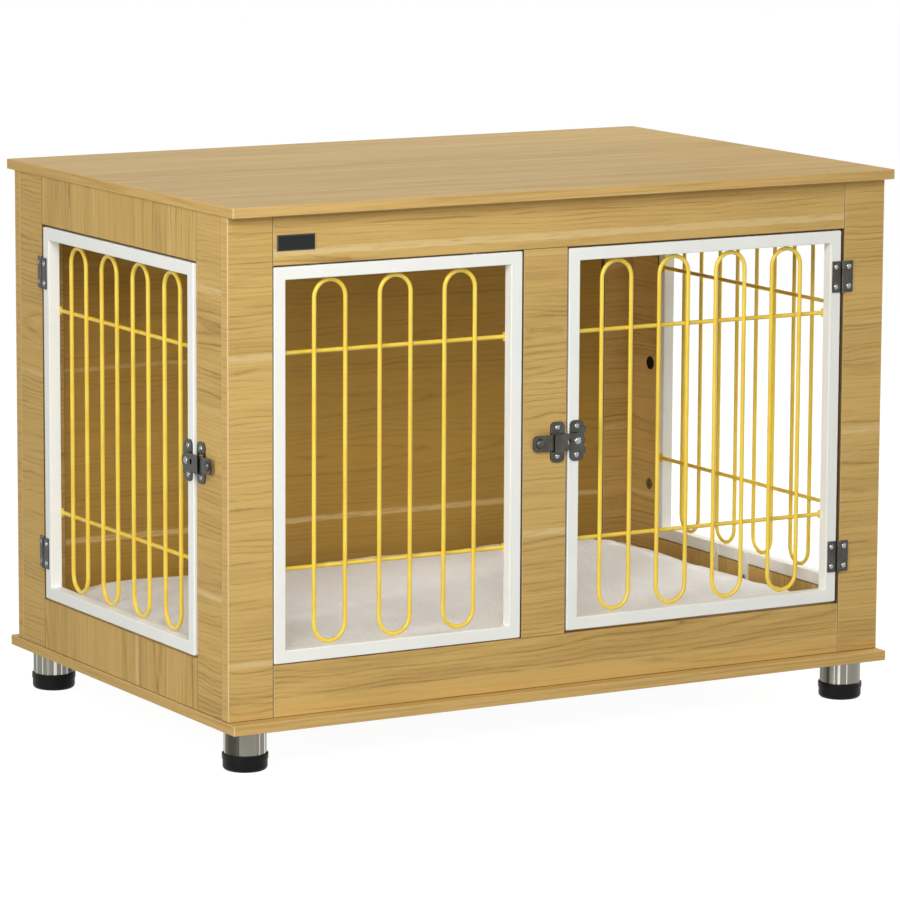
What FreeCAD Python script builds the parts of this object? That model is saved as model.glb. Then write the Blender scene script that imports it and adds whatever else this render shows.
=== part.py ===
import FreeCAD, Part

import math
import os
from collections import namedtuple

# A dog crate that doubles as an end table: a boarded box on four short feet, with a barred
# window and a barred door in front, a barred door on the left side and a barred window on the
# right side. Millimetres, +Z up. X runs across the front from left to right and the front looks
# towards -Y. The origin is on the floor, under the middle of the table.

V = FreeCAD.Vector
os.makedirs("parts", exist_ok=True)

# Overall
TABLE_WIDTH = 900.0
TABLE_DEPTH = 600.0
SLAB = 12.0  # thickness of the table top and of the base board
SIDE_OVERHANG = 2.0
FRONT_OVERHANG = 18.0  # of both slabs, at the front and at the rear
FOOT_HEIGHT = 50.0
CARCASS_HEIGHT = 581.0  # between the two slabs

# Carcass boards
BOARD = 15.0
REAR_PANEL = 9.0
POST_WIDTH = 58.0
WINDOW_OPENING = 330.0
CENTRE_STILE = 60.0
BOTTOM_RAIL = 61.0
TOP_RAIL = 59.0
SIDE_STILE = 62.0
EDGE_ROUND = 0.6
REAR_PANEL_GAP = 1.5

# Steel frames
TUBE = 15.0
TUBE_WALL = 1.2
TUBE_ROUND = 1.2
WINDOW_GAP = 1.4
FRAME_CORNER = 2.0
DOOR_LATCH_GAP = 2.3
DOOR_TOP_GAP = 1.8
DOOR_BOTTOM_GAP = 3.4
FRONT_HINGE_GAP = 4.0
SIDE_HINGE_GAP = 9.0
SIDE_DOOR_PROUD = 3.0  # how far its frame stands in front of the boards

# Wire grilles
WIRE = 5.0
LOOP_WIDTH = 45.6  # over the outsides of the two legs
LOOP_END_GAP = 1.5
WELD_BITE = 0.4  # how far a loop is sunk into the cross wires at a weld
UPPER_WIRE_DROP = 86.0  # from the top of the frame's inner opening
LOWER_WIRE_RISE = 92.0  # from the bottom of it
EYELET_WIDTH = 10.0
EYELET_LENGTH = 14.0
EYELET_THICKNESS = 2.0
WIRE_END_GAP = 0.3  # from the tube's inner edge to the round part of a cross wire

# Hinges
HINGE_HEIGHT = 38.0
HINGE_FROM_END = 56.0  # from the door's top or bottom to the middle of the hinge
LEAF_WIDTH = 14.5  # from the pin's axis
LEAF_THICKNESS = 1.5
KNUCKLE_RADIUS = 2.5
KNUCKLE_COUNT = 5
KNUCKLE_GAP = 0.3
HINGE_PIN_RADIUS = 1.2
PIN_FIT = 0.05  # radial running clearance of every pin
HINGE_SCREW_FROM_PIN = 9.0
HINGE_SCREW_STEP = 12.0  # above and below the middle of the hinge

# Latches
PLATE_WIDTH = 19.0
PLATE_HEIGHT = 48.5
PLATE_THICKNESS = 1.5
LATCH_FROM_DOOR_EDGE = 11.25
PLATE_CORNER = 6.0
KEEPER_FROM_PIVOT = 26.5
PLATE_SCREW_STEP = 17.0
BAR_WIDTH = 19.0
BAR_CORNER = 6.0
BAR_REACH = 61.5  # from the pivot to the free end
BAR_THICKNESS = 1.5
BAR_STANDOFF = 1.5  # from the plates to the back of the bar
BOSS_RADIUS = 5.0
PIVOT_RADIUS = 2.0
PIVOT_HEAD_RADIUS = 4.5
PIVOT_HEAD_HEIGHT = 1.6
BUTTON_RADIUS = 6.0
BUTTON_HEIGHT = 3.5
SLOT_WIDTH = 5.0
SLOT_HEIGHT = 7.0
SLOT_FROM_PIVOT = 12.5
HOOK_WIDTH = 13.0
HOOK_CLEARANCE = 0.6
EAR_REACH = 2.5
EAR_DEPTH = 6.0
EAR_HEIGHT = 8.0
EAR_STEP = 12.5
RUN_GAP = 0.2  # between faces that slide past each other

# Small screws
SCREW_RADIUS = 1.5
SCREW_HEAD_RADIUS = 3.2
SCREW_HEAD_HEIGHT = 1.0
WOOD_SCREW_LENGTH = 12.0
TUBE_SCREW_LENGTH = 6.0
CROSS_WIDTH = 0.7
HOLE_ROOM = 0.1  # radial room of every hole that is drilled for a fixing

# Knock-down fittings
CAM_RADIUS = 7.5
CAM_DEPTH = 12.0
CAM_SETBACK = 46.0  # from the joint to the middle of the cam
CAM_SLOT_DEPTH = 2.0
CAM_SLOT_WIDTH = 2.0
CAM_BOLT_RADIUS = 3.0
CAM_BOLT_THREAD = 9.0
CAM_STEP = 160.0  # between the rows, the middle one halfway up the carcass
CAM_ROWS = 3
CAP_RADIUS = 8.5
CAP_THICKNESS = 1.0
CAP_CHAMFER = 0.4
FRONT_FIXING_SPREAD = 150.0
SIDE_FIXING_SPREAD = 100.0
DOWEL_RADIUS = 3.0
DOWEL_LENGTH = 30.0
DOWEL_STEP = 15.0
DOWEL_END_GAP = 1.0
REAR_DOWEL_SPREAD = 220.0
BASE_SCREW_RADIUS = 2.0
BASE_SCREW_LENGTH = 40.0
BASE_SCREW_HEAD = 4.0
WINDOW_PIN_RADIUS = 2.5
WINDOW_PIN_LENGTH = 16.0
WINDOW_PIN_FROM_END = 60.0
TAB_WIDTH = 16.0
TAB_THICKNESS = 1.5
TAB_PLACES = (-10.0, 61.0)  # along the right window, from its middle
TAB_LAP = 14.0  # over the back of the frame
TAB_DROP = 23.0  # below the opening's floor
TAB_SCREW_RISE = 7.0  # above the tab's lower end

# Feet
LEG_RADIUS = 25.0
LEG_WALL = 1.5
LEG_FROM_SIDE = 35.0  # from the carcass's side face to the middle of the leg
LEG_FROM_FRONT = 26.0  # from its front or rear face
CUP_HEIGHT = 20.0
CUP_FLOOR = 4.0
CUP_WALL = 1.0
CUP_RIM = 0.8
CUP_RIM_HEIGHT = 7.0
CUP_ROUND = 5.0
LEG_PLATE = 3.0
LEG_STUD_RADIUS = 4.0
LEG_STUD_REACH = 9.0

# Nameplate
NAMEPLATE_WIDTH = 49.0
NAMEPLATE_HEIGHT = 18.5
NAMEPLATE_THICKNESS = 1.5
NAMEPLATE_BEVEL = 1.0
NAMEPLATE_FROM_POST = 5.0
NAMEPLATE_RISE = 26.0  # its middle above the openings

# Cushion
CUSHION_SIDE_GAP = 6.0
CUSHION_SEAT_GAP = 0.3
CUSHION_CORNER = 45.0
CUSHION_SIDE = 40.0  # thickness at the piped edge
CUSHION_CROWN = 20.0  # rise of the middle above the edge
CUSHION_DRAW_IN = 8.0  # how far each side is drawn in at its middle
CUSHION_ROLL = 16.0  # depth of the rolled edge
CUSHION_CROWN_RUN = 165.0  # from the rolled edge to where the crown levels off
CUSHION_STEPS = 4  # slices of each quarter of the rolled edge and of the crown

# Places that follow
BODY_WIDTH = TABLE_WIDTH - 2 * SIDE_OVERHANG
BODY_DEPTH = TABLE_DEPTH - 2 * FRONT_OVERHANG
BASE_TOP = FOOT_HEIGHT + SLAB
CARCASS_TOP = BASE_TOP + CARCASS_HEIGHT
OPENING_FLOOR = BASE_TOP + BOTTOM_RAIL
OPENING_HEAD = CARCASS_TOP - TOP_RAIL
OPENING_HALF = BODY_WIDTH / 2 - POST_WIDTH
STILE_LEFT = WINDOW_OPENING - OPENING_HALF
STILE_RIGHT = STILE_LEFT + CENTRE_STILE
SIDE_HALF = BODY_DEPTH / 2 - BOARD
SIDE_OPENING_HALF = SIDE_HALF - SIDE_STILE
POST_MIDDLE = OPENING_HALF + POST_WIDTH / 2
BOTTOM_RAIL_MIDDLE = BASE_TOP + BOTTOM_RAIL / 2
TOP_RAIL_MIDDLE = CARCASS_TOP - TOP_RAIL / 2
HALF_RUN = {"front": BODY_DEPTH / 2, "rear": BODY_DEPTH / 2}
HALF_RUN.update({"left": BODY_WIDTH / 2, "right": BODY_WIDTH / 2})
TURN = {"front": 0, "right": 90, "rear": 180, "left": -90}

# A bay is an opening in one face, from low to high as seen from outside. hinge is the side of
# its hinges, -1 for left and 1 for right, or 0 where the frame in it is fixed. hinge_gap is the
# gap there, and proud is how far the frame stands in front of the boards.
Bay = namedtuple("Bay", "face low high loops hinge hinge_gap proud")
FRONT_WINDOW = Bay("front", -OPENING_HALF, STILE_LEFT, 3, 0, WINDOW_GAP, 0.0)
FRONT_DOOR = Bay("front", STILE_RIGHT, OPENING_HALF, 4, 1, FRONT_HINGE_GAP, 0.0)
SIDE_SPAN = (-SIDE_OPENING_HALF, SIDE_OPENING_HALF)
SIDE_DOOR = Bay("left", *SIDE_SPAN, 4, -1, SIDE_HINGE_GAP, SIDE_DOOR_PROUD)
RIGHT_WINDOW = Bay("right", *SIDE_SPAN, 4, 0, WINDOW_GAP, 0.0)


# ---------------------------------------------------------------- general shapes


def block(x, y, z):
    """A box between three pairs of lows and highs."""
    return Part.makeBox(x[1] - x[0], y[1] - y[0], z[1] - z[0], V(x[0], y[0], z[0]))


def rod(start, end, radius):
    """A round bar from one point to another."""
    run = end - start
    return Part.makeCylinder(radius, run.Length, start, run)


def dome(radius, height):
    """A low round head that stands on z = 0."""
    rim = V(radius, 0, 0)
    crown = V(0, 0, height)
    shoulder = V(radius * 0.75, 0, height * 0.75)
    edges = [Part.makeLine(V(0, 0, 0), crown), Part.Arc(crown, shoulder, rim).toShape()]
    edges.append(Part.makeLine(rim, V(0, 0, 0)))
    return Part.Face(Part.Wire(edges)).revolve(V(0, 0, 0), V(0, 0, 1), 360)


def upright_corners(shape, low=-math.inf, high=math.inf):
    """The edges that run in depth, between two limits along x."""
    runs = [edge for edge in shape.Edges if edge.BoundBox.XLength + edge.BoundBox.ZLength < 0.01]
    return [edge for edge in runs if low < edge.BoundBox.XMin < high]


def face_plate(width, height, y):
    """An upright plate with rounded corners, centred on the local Y axis."""
    plate = block((-width / 2, width / 2), y, (-height / 2, height / 2))
    return plate.makeFillet(PLATE_CORNER, upright_corners(plate))


def moved(shape, x, y, z):
    """A copy of a shape, shifted."""
    copy = shape.copy()
    copy.translate(V(x, y, z))
    return copy


def facing(shape, inwards=False):
    """Lay a shape that stands along +Z so that it points out of a face, or into it."""
    copy = shape.copy()
    copy.rotate(V(0, 0, 0), V(1, 0, 0), -90 if inwards else 90)
    return copy


def on_face(shape, face):
    """Put a shape drawn on a face where that face is.

    On a face, x runs to the right from its middle as seen from outside, y runs inwards from the
    outer surface, and z is the height above the floor.
    """
    copy = moved(shape, 0, -HALF_RUN[face], 0)
    copy.rotate(V(0, 0, 0), V(0, 0, 1), TURN[face])
    return copy


def on_frame(shape, bay):
    """Put a shape drawn on the outer face of a bay's frame where that frame is."""
    return on_face(moved(shape, 0, -bay.proud, 0), bay.face)


def drill(shape, holes):
    """Cut from a shape those holes whose boxes reach it."""
    near = [hole for hole in holes if shape.BoundBox.intersect(hole.BoundBox)]
    return shape.cut(near) if near else shape


def save(node, *solids):
    """Write one node, as one solid or as a group of them."""
    shape = solids[0] if len(solids) == 1 else Part.makeCompound(list(solids))
    shape.exportStep(f"parts/{node}.step")


# ---------------------------------------------------------------- fixings


def screw(x, seat, z, length, inwards=False, room=0.0):
    """A small cross-head screw on a face; its head lies on y = seat."""
    out = 1 if inwards else -1
    start = V(x, seat, z)
    shank = rod(start, start - V(0, out * length, 0), SCREW_RADIUS + room)
    if room:
        return shank
    head = dome(SCREW_HEAD_RADIUS, SCREW_HEAD_HEIGHT)
    half = SCREW_HEAD_RADIUS * 0.55
    side = CROSS_WIDTH / 2
    depth = (SCREW_HEAD_HEIGHT * 0.4, SCREW_HEAD_HEIGHT)
    slots = [block((-half, half), (-side, side), depth), block((-side, side), (-half, half), depth)]
    head = moved(facing(head.cut(slots), inwards), x, seat, z)
    return head.fuse(shank).removeSplitter()


def front_screws(bay, x, seat, heights, length, room, on_door=False):
    """Screws one above the other, driven in from outside a bay's boards or its door."""
    place = on_frame if on_door else (lambda shape, bay: on_face(shape, bay.face))
    return [place(screw(x, seat, z, length, False, room), bay) for z in heights]


def dowels(room=0.0):
    """Wooden dowels in the joints of the rails, the centre stile and the rear panel."""
    half = DOWEL_LENGTH / 2
    radius = DOWEL_RADIUS + room
    end = half + (DOWEL_END_GAP if room else 0.0)
    steps = (-DOWEL_STEP, DOWEL_STEP)
    rails = (BOTTOM_RAIL_MIDDLE, TOP_RAIL_MIDDLE)

    def across(face, x, z, depth):
        bar = rod(V(x - end, depth, z), V(x + end, depth, z), radius)
        return on_face(bar, face)

    pegs = []
    bays = {"front": OPENING_HALF, "left": SIDE_OPENING_HALF, "right": SIDE_OPENING_HALF}
    for face, edge in bays.items():
        for x in (-edge, edge):
            pegs += [across(face, x, z + step, BOARD / 2) for z in rails for step in steps]
    for x in (-OPENING_HALF, OPENING_HALF):
        for step in (-REAR_DOWEL_SPREAD, 0, REAR_DOWEL_SPREAD):
            pegs.append(across("rear", x, BASE_TOP + CARCASS_HEIGHT / 2 + step, REAR_PANEL / 2))
    for z in (OPENING_FLOOR, OPENING_HEAD):
        for step in steps:
            x = (STILE_LEFT + STILE_RIGHT) / 2 + step
            peg = rod(V(x, BOARD / 2, z - end), V(x, BOARD / 2, z + end), radius)
            pegs.append(on_face(peg, "front"))
    return pegs


def cam_places():
    """Each cam: its face, its middle, the way from there to the joint, and whether it is capped."""
    places = []
    for face in ("left", "right"):
        for row in range(CAM_ROWS):
            z = BASE_TOP + CARCASS_HEIGHT / 2 + (row - (CAM_ROWS - 1) / 2) * CAM_STEP
            reach = SIDE_HALF - CAM_SETBACK
            places += [(face, side * reach, z, V(side, 0, 0), row > 0) for side in (-1, 1)]
    top = CARCASS_TOP - CAM_SETBACK
    spreads = {"front": (POST_MIDDLE, FRONT_FIXING_SPREAD), "rear": (POST_MIDDLE,)}
    spreads.update({"left": (SIDE_FIXING_SPREAD,), "right": (SIDE_FIXING_SPREAD,)})
    for face, spread in spreads.items():
        places += [(face, side * x, top, V(0, 0, 1), False) for x in spread for side in (-1, 1)]
    return places


def cam_bolt(face, x, z, way, room=0.0):
    """The bolt that a cam draws in; its thread is in the board on the far side of the joint."""
    start = V(x, BOARD / 2, z)
    end = start + way * (CAM_SETBACK + CAM_BOLT_THREAD)
    return on_face(rod(start, end, CAM_BOLT_RADIUS + room), face)


def cam_lock(face, x, z, way):
    """A round cam let into a board's inner side, with a screwdriver slot and its bolt's hole."""
    lock = rod(V(x, BOARD - CAM_DEPTH, z), V(x, BOARD, z), CAM_RADIUS)
    slot_y = (BOARD - CAM_SLOT_DEPTH, BOARD + 1)
    half = CAM_SLOT_WIDTH / 2
    reach = CAM_RADIUS * 0.65
    slots = [
        block((x - reach, x + reach), slot_y, (z - half, z + half)),
        block((x - half, x + half), slot_y, (z - reach, z + reach)),
    ]
    return on_face(lock.cut(slots), face).cut(cam_bolt(face, x, z, way, HOLE_ROOM))


def cam_hole(face, x, z):
    """The blind hole for a cam."""
    hole = rod(V(x, BOARD - CAM_DEPTH, z), V(x, BOARD + 1, z), CAM_RADIUS + HOLE_ROOM)
    return on_face(hole, face)


def cam_cap(face, x, z):
    """A thin plastic cap over a cam."""
    cap = rod(V(x, BOARD, z), V(x, BOARD + CAP_THICKNESS, z), CAP_RADIUS)
    rim = [edge for edge in cap.Edges if edge.BoundBox.YMin > BOARD + CAP_THICKNESS / 2]
    return on_face(cap.makeChamfer(CAP_CHAMFER, rim), face)


def base_screws(room=0.0):
    """Countersunk screws from under the base board into the uprights and the side rails."""
    screws = []
    spots = [("front", POST_MIDDLE), ("front", FRONT_FIXING_SPREAD), ("rear", POST_MIDDLE)]
    spots += [("left", SIDE_FIXING_SPREAD), ("right", SIDE_FIXING_SPREAD)]
    for face, spread in spots:
        for x in (-spread, spread):
            foot = V(x, BOARD / 2, FOOT_HEIGHT)
            shank = rod(foot, foot + V(0, 0, BASE_SCREW_LENGTH), BASE_SCREW_RADIUS + room)
            drop = BASE_SCREW_HEAD - BASE_SCREW_RADIUS
            head = Part.makeCone(BASE_SCREW_HEAD + room, BASE_SCREW_RADIUS + room, drop, foot)
            screws.append(on_face(shank.fuse(head).removeSplitter(), face))
    return screws


# ---------------------------------------------------------------- boards, slabs and feet


def slab(low):
    """The table top or the base board, with its long edges eased."""
    half_width = TABLE_WIDTH / 2
    half_depth = TABLE_DEPTH / 2
    plain = block((-half_width, half_width), (-half_depth, half_depth), (low, low + SLAB))
    return plain.makeFillet(EDGE_ROUND, plain.Edges)


def upright_board(face, x, z, thickness=BOARD):
    """One carcass board, its outer edges eased so that each joint shows as a fine line."""
    plain = block(x, (0, thickness), z)
    outer = [edge for edge in plain.Edges if edge.BoundBox.YMax < thickness / 2]
    return on_face(plain.makeFillet(EDGE_ROUND, outer), face)


def carcass_boards():
    """Every upright board of the box by name, not yet drilled."""
    full = (BASE_TOP, CARCASS_TOP)
    bottom = (BASE_TOP, OPENING_FLOOR)
    top = (OPENING_HEAD, CARCASS_TOP)
    between = (OPENING_FLOOR, OPENING_HEAD)
    outside = BODY_WIDTH / 2
    bay = (-OPENING_HALF, OPENING_HALF)
    panel_half = OPENING_HALF - REAR_PANEL_GAP
    boards = {
        "front_left_post": upright_board("front", (-outside, -OPENING_HALF), full),
        "front_right_post": upright_board("front", (OPENING_HALF, outside), full),
        "front_bottom_rail": upright_board("front", bay, bottom),
        "front_top_rail": upright_board("front", bay, top),
        "front_centre_stile": upright_board("front", (STILE_LEFT, STILE_RIGHT), between),
        "rear_right_post": upright_board("rear", (-outside, -OPENING_HALF), full),
        "rear_left_post": upright_board("rear", (OPENING_HALF, outside), full),
        "rear_panel": upright_board("rear", (-panel_half, panel_half), full, REAR_PANEL),
    }
    side_bay = (-SIDE_OPENING_HALF, SIDE_OPENING_HALF)
    for face, towards_front in (("left", 1), ("right", -1)):
        stiles = {1: (SIDE_OPENING_HALF, SIDE_HALF), -1: (-SIDE_HALF, -SIDE_OPENING_HALF)}
        boards[f"{face}_front_stile"] = upright_board(face, stiles[towards_front], full)
        boards[f"{face}_rear_stile"] = upright_board(face, stiles[-towards_front], full)
        boards[f"{face}_bottom_rail"] = upright_board(face, side_bay, bottom)
        boards[f"{face}_top_rail"] = upright_board(face, side_bay, top)
    return boards


def leg_places():
    """The middles of the four feet on the floor."""
    x = BODY_WIDTH / 2 - LEG_FROM_SIDE
    y = BODY_DEPTH / 2 - LEG_FROM_FRONT
    return {
        "front_left": V(-x, -y, 0),
        "front_right": V(x, -y, 0),
        "rear_left": V(-x, y, 0),
        "rear_right": V(x, y, 0),
    }


def leg_tube(place):
    """A short round steel tube from the cup's floor to the base board."""
    low = place + V(0, 0, CUP_FLOOR)
    high = place + V(0, 0, FOOT_HEIGHT)
    return rod(low, high, LEG_RADIUS).cut(rod(low, high, LEG_RADIUS - LEG_WALL))


def leg_cup(place):
    """The plastic cup pushed over a tube: flared at its rim and rounded underneath."""
    outer = LEG_RADIUS + HOLE_ROOM + CUP_WALL
    body = rod(V(0, 0, 0), V(0, 0, CUP_HEIGHT), outer)
    body = body.makeFillet(CUP_ROUND, [edge for edge in body.Edges if edge.BoundBox.ZMax < 1])
    rim = rod(V(0, 0, CUP_HEIGHT - CUP_RIM_HEIGHT), V(0, 0, CUP_HEIGHT), outer + CUP_RIM)
    rim = rim.makeFillet(CUP_RIM * 0.9, [edge for edge in rim.Edges if len(edge.Vertexes) == 1])
    socket = rod(V(0, 0, CUP_FLOOR), V(0, 0, CUP_HEIGHT + 1), LEG_RADIUS + HOLE_ROOM)
    cup = body.fuse(rim).cut(socket)
    return moved(cup, place.x, place.y, 0)


def leg_stud(place, room=0.0):
    """The plate in a tube's top with its threaded stud up into the base board."""
    top = place + V(0, 0, FOOT_HEIGHT)
    plate = rod(top - V(0, 0, LEG_PLATE), top, LEG_RADIUS - LEG_WALL - HOLE_ROOM)
    stud = rod(top - V(0, 0, LEG_PLATE), top + V(0, 0, LEG_STUD_REACH), LEG_STUD_RADIUS + room)
    return stud if room else plate.fuse(stud).removeSplitter()


# ---------------------------------------------------------------- frames and grilles


def frame_span(bay):
    """The outer lows and highs of the steel frame in a bay, across and in height."""
    if not bay.hinge:
        across = (bay.low + WINDOW_GAP, bay.high - WINDOW_GAP)
        return across, (OPENING_FLOOR + WINDOW_GAP, OPENING_HEAD - WINDOW_GAP)
    gaps = {-1: (bay.hinge_gap, DOOR_LATCH_GAP), 1: (DOOR_LATCH_GAP, bay.hinge_gap)}[bay.hinge]
    across = (bay.low + gaps[0], bay.high - gaps[1])
    return across, (OPENING_FLOOR + DOOR_BOTTOM_GAP, OPENING_HEAD - DOOR_TOP_GAP)


def inset(span, by):
    """A pair of lows and highs, drawn in at both ends."""
    return span[0] + by, span[1] - by


def welded_frame(bay):
    """Four square tubes mitred and welded into a rectangle, hollow all round."""
    across, height = frame_span(bay)
    opening = block(inset(across, TUBE), (-1, TUBE + 1), inset(height, TUBE))
    whole = block(across, (0, TUBE), height)
    ring = whole.makeFillet(FRAME_CORNER, upright_corners(whole)).cut(opening)
    flat = [edge for edge in ring.Edges if edge.BoundBox.YLength < TUBE / 2]
    ring = ring.makeFillet(TUBE_ROUND, flat)
    core_y = (TUBE_WALL, TUBE - TUBE_WALL)
    core = block(inset(across, TUBE_WALL), core_y, inset(height, TUBE_WALL))
    middle = (inset(across, TUBE - TUBE_WALL), inset(height, TUBE - TUBE_WALL))
    core = core.cut(block(middle[0], (0, TUBE), middle[1]))
    return on_frame(ring.cut(core), bay)


def cross_wire_heights(bay):
    """The heights of a grille's lower and upper cross wires."""
    inner = inset(frame_span(bay)[1], TUBE)
    return inner[0] + LOWER_WIRE_RISE, inner[1] - UPPER_WIRE_DROP


def wire_loop(x, depth, height):
    """One closed wire loop: two straight legs and a half turn at each end."""
    radius = (LOOP_WIDTH - WIRE) / 2
    low = height[0] + WIRE / 2 + radius
    high = height[1] - WIRE / 2 - radius
    sides = (x - radius, x + radius)
    legs = [rod(V(side, depth, low), V(side, depth, high), WIRE / 2) for side in sides]
    circle = Part.makeCircle(WIRE / 2, V(radius, 0, 0), V(0, 0, 1))
    section = Part.Face(Part.Wire(circle))
    lower = section.revolve(V(0, 0, 0), V(0, 1, 0), 180)
    upper = section.revolve(V(0, 0, 0), V(0, 1, 0), -180)
    return legs[0].fuse([legs[1], moved(lower, x, depth, low), moved(upper, x, depth, high)])


def eyelet(x, z, towards):
    """The flattened end of a cross wire, which lies on the back of the frame."""
    reach = EYELET_LENGTH - EYELET_WIDTH / 2
    y = (TUBE, TUBE + EYELET_THICKNESS)
    tail = block(sorted((x, x + towards * reach)), y, (z - EYELET_WIDTH / 2, z + EYELET_WIDTH / 2))
    return tail.fuse(rod(V(x, y[0], z), V(x, y[1], z), EYELET_WIDTH / 2))


def grille(bay):
    """The wire grille of a bay: loops welded on the outer side of two cross wires."""
    across, height = frame_span(bay)
    inner = inset(across, TUBE)
    cross_depth = TUBE + EYELET_THICKNESS / 2
    loop_depth = cross_depth - WIRE + WELD_BITE
    clear = (inner[1] - inner[0] - bay.loops * LOOP_WIDTH) / (bay.loops + 1)
    first = inner[0] + clear + LOOP_WIDTH / 2
    loop_height = inset(inset(height, TUBE), LOOP_END_GAP)
    pitch = clear + LOOP_WIDTH
    pieces = [wire_loop(first + i * pitch, loop_depth, loop_height) for i in range(bay.loops)]
    ends = inset(across, TUBE / 2)
    tips = inset(inner, WIRE_END_GAP)
    for z in cross_wire_heights(bay):
        pieces.append(rod(V(tips[0], cross_depth, z), V(tips[1], cross_depth, z), WIRE / 2))
        pieces += [eyelet(ends[0], z, 1), eyelet(ends[1], z, -1)]
    whole = pieces[0].fuse(pieces[1:])
    return on_frame(whole, bay).cut(grille_screws(bay, HOLE_ROOM))


def grille_screws(bay, room=0.0):
    """The screws through the eyelets into the back of the frame."""
    ends = inset(frame_span(bay)[0], TUBE / 2)
    seat = TUBE + EYELET_THICKNESS
    spots = [(x, z) for x in ends for z in cross_wire_heights(bay)]
    return [on_frame(screw(x, seat, z, TUBE_SCREW_LENGTH, True, room), bay) for x, z in spots]


def window_pins(bay, room=0.0):
    """Pins that hold a fixed frame between the top and bottom rails."""
    across, height = frame_span(bay)
    pins = []
    for x in inset(across, WINDOW_PIN_FROM_END):
        for edge, way in ((height[0], -1), (height[1], 1)):
            start = V(x, TUBE / 2, edge - way * 2 * TUBE_WALL)
            end = start + V(0, 0, way * (WINDOW_PIN_LENGTH + (DOWEL_END_GAP if room else 0)))
            pins.append(on_face(rod(start, end, WINDOW_PIN_RADIUS + room), bay.face))
    return pins


def tab_span():
    """The lows and highs in height of the right window's tabs."""
    return OPENING_FLOOR - TAB_DROP, OPENING_FLOOR + WINDOW_GAP + TAB_LAP


def window_tabs():
    """Tabs on the back of the right window's frame, which lap over the rail below it."""
    half = TAB_WIDTH / 2
    y = (TUBE, TUBE + TAB_THICKNESS)
    tabs = [block((x - half, x + half), y, tab_span()) for x in TAB_PLACES]
    return [drill(on_face(tab, RIGHT_WINDOW.face), tab_screws(HOLE_ROOM)) for tab in tabs]


def tab_screws(room=0.0):
    """The screws that hold the tabs to the rail."""
    z = tab_span()[0] + TAB_SCREW_RISE
    seat = TUBE + TAB_THICKNESS
    screws = [screw(x, seat, z, WOOD_SCREW_LENGTH, True, room) for x in TAB_PLACES]
    return [on_face(one, RIGHT_WINDOW.face) for one in screws]


# ---------------------------------------------------------------- hinges


def hinge_places(bay):
    """The pin's line across the face, and the heights of the two hinges."""
    edge = bay.high if bay.hinge > 0 else bay.low
    height = frame_span(bay)[1]
    return edge - bay.hinge * bay.hinge_gap / 2, inset(height, HINGE_FROM_END)


def pin_depth(bay):
    """The depth of the pin's axis, a little further out where the door stands proud."""
    return -KNUCKLE_RADIUS - bay.proud / 3


def hinge_leaf(bay, z, moving):
    """One leaf with its knuckles; the fixed leaf has the outer ones."""
    x = hinge_places(bay)[0]
    side = -bay.hinge if moving else bay.hinge
    low = z - HINGE_HEIGHT / 2
    step = HINGE_HEIGHT / KNUCKLE_COUNT
    seat = -bay.proud if moving else 0.0
    y = (seat - LEAF_THICKNESS, seat)
    leaf = block(sorted((x, x + side * LEAF_WIDTH)), y, (low, low + HINGE_HEIGHT))
    axis = pin_depth(bay)
    knuckles = []
    pockets = []
    trim = KNUCKLE_GAP / 2
    reach = KNUCKLE_RADIUS + KNUCKLE_GAP
    for i in range(KNUCKLE_COUNT):
        bottom = low + i * step
        if (i % 2 == 1) == moving:
            ends = (bottom + trim, bottom + step - trim)
            knuckles.append(rod(V(x, axis, ends[0]), V(x, axis, ends[1]), KNUCKLE_RADIUS))
        else:
            room = (bottom - trim, bottom + step + trim)
            pockets.append(block((x - reach, x + reach), (y[0] - 1, y[1] + 1), room))
    bore = rod(V(x, axis, low - 1), V(x, axis, low + HINGE_HEIGHT + 1), HINGE_PIN_RADIUS + PIN_FIT)
    whole = leaf.cut(pockets).fuse(knuckles).removeSplitter().cut(bore)
    return on_face(whole, bay.face).cut(leaf_screws(bay, z, moving, HOLE_ROOM))


def leaf_screws(bay, z, moving, room=0.0):
    """The two screws of a leaf."""
    side = -bay.hinge if moving else bay.hinge
    x = hinge_places(bay)[0] + side * HINGE_SCREW_FROM_PIN
    length = TUBE_SCREW_LENGTH if moving else WOOD_SCREW_LENGTH
    heights = (z - HINGE_SCREW_STEP, z + HINGE_SCREW_STEP)
    return front_screws(bay, x, -LEAF_THICKNESS, heights, length, room, moving)


def hinge_pin(bay, z):
    """A hinge's pin, with a low head at each end."""
    x = hinge_places(bay)[0]
    half = HINGE_HEIGHT / 2
    low = V(x, pin_depth(bay), z - half)
    high = V(x, pin_depth(bay), z + half)
    head = dome(KNUCKLE_RADIUS * 0.9, KNUCKLE_RADIUS * 0.3)
    foot = head.mirror(V(0, 0, 0), V(0, 0, 1))
    pin = rod(low, high, HINGE_PIN_RADIUS).fuse([moved(head, *high), moved(foot, *low)])
    return on_face(pin.removeSplitter(), bay.face)


# ---------------------------------------------------------------- latches


def latch_place(bay):
    """The pivot's place across the face, its height, and the way from it to the keeper."""
    across, height = frame_span(bay)
    way = -bay.hinge
    edge = across[0] if way < 0 else across[1]
    return edge - way * LATCH_FROM_DOOR_EDGE, sum(height) / 2, way


def at_latch(shape, bay):
    """Put a shape drawn round the pivot in its place on the door's face."""
    x, z, _ = latch_place(bay)
    return on_frame(moved(shape, x, 0, z), bay)


def pivot_hole(radius):
    """A hole along the pivot through everything on it."""
    return rod(V(0, -20, 0), V(0, 1, 0), radius)


def bar_depth():
    """The lows and highs in depth of the flip bar."""
    back = -PLATE_THICKNESS - BAR_STANDOFF
    return back - BAR_THICKNESS, back


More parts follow.
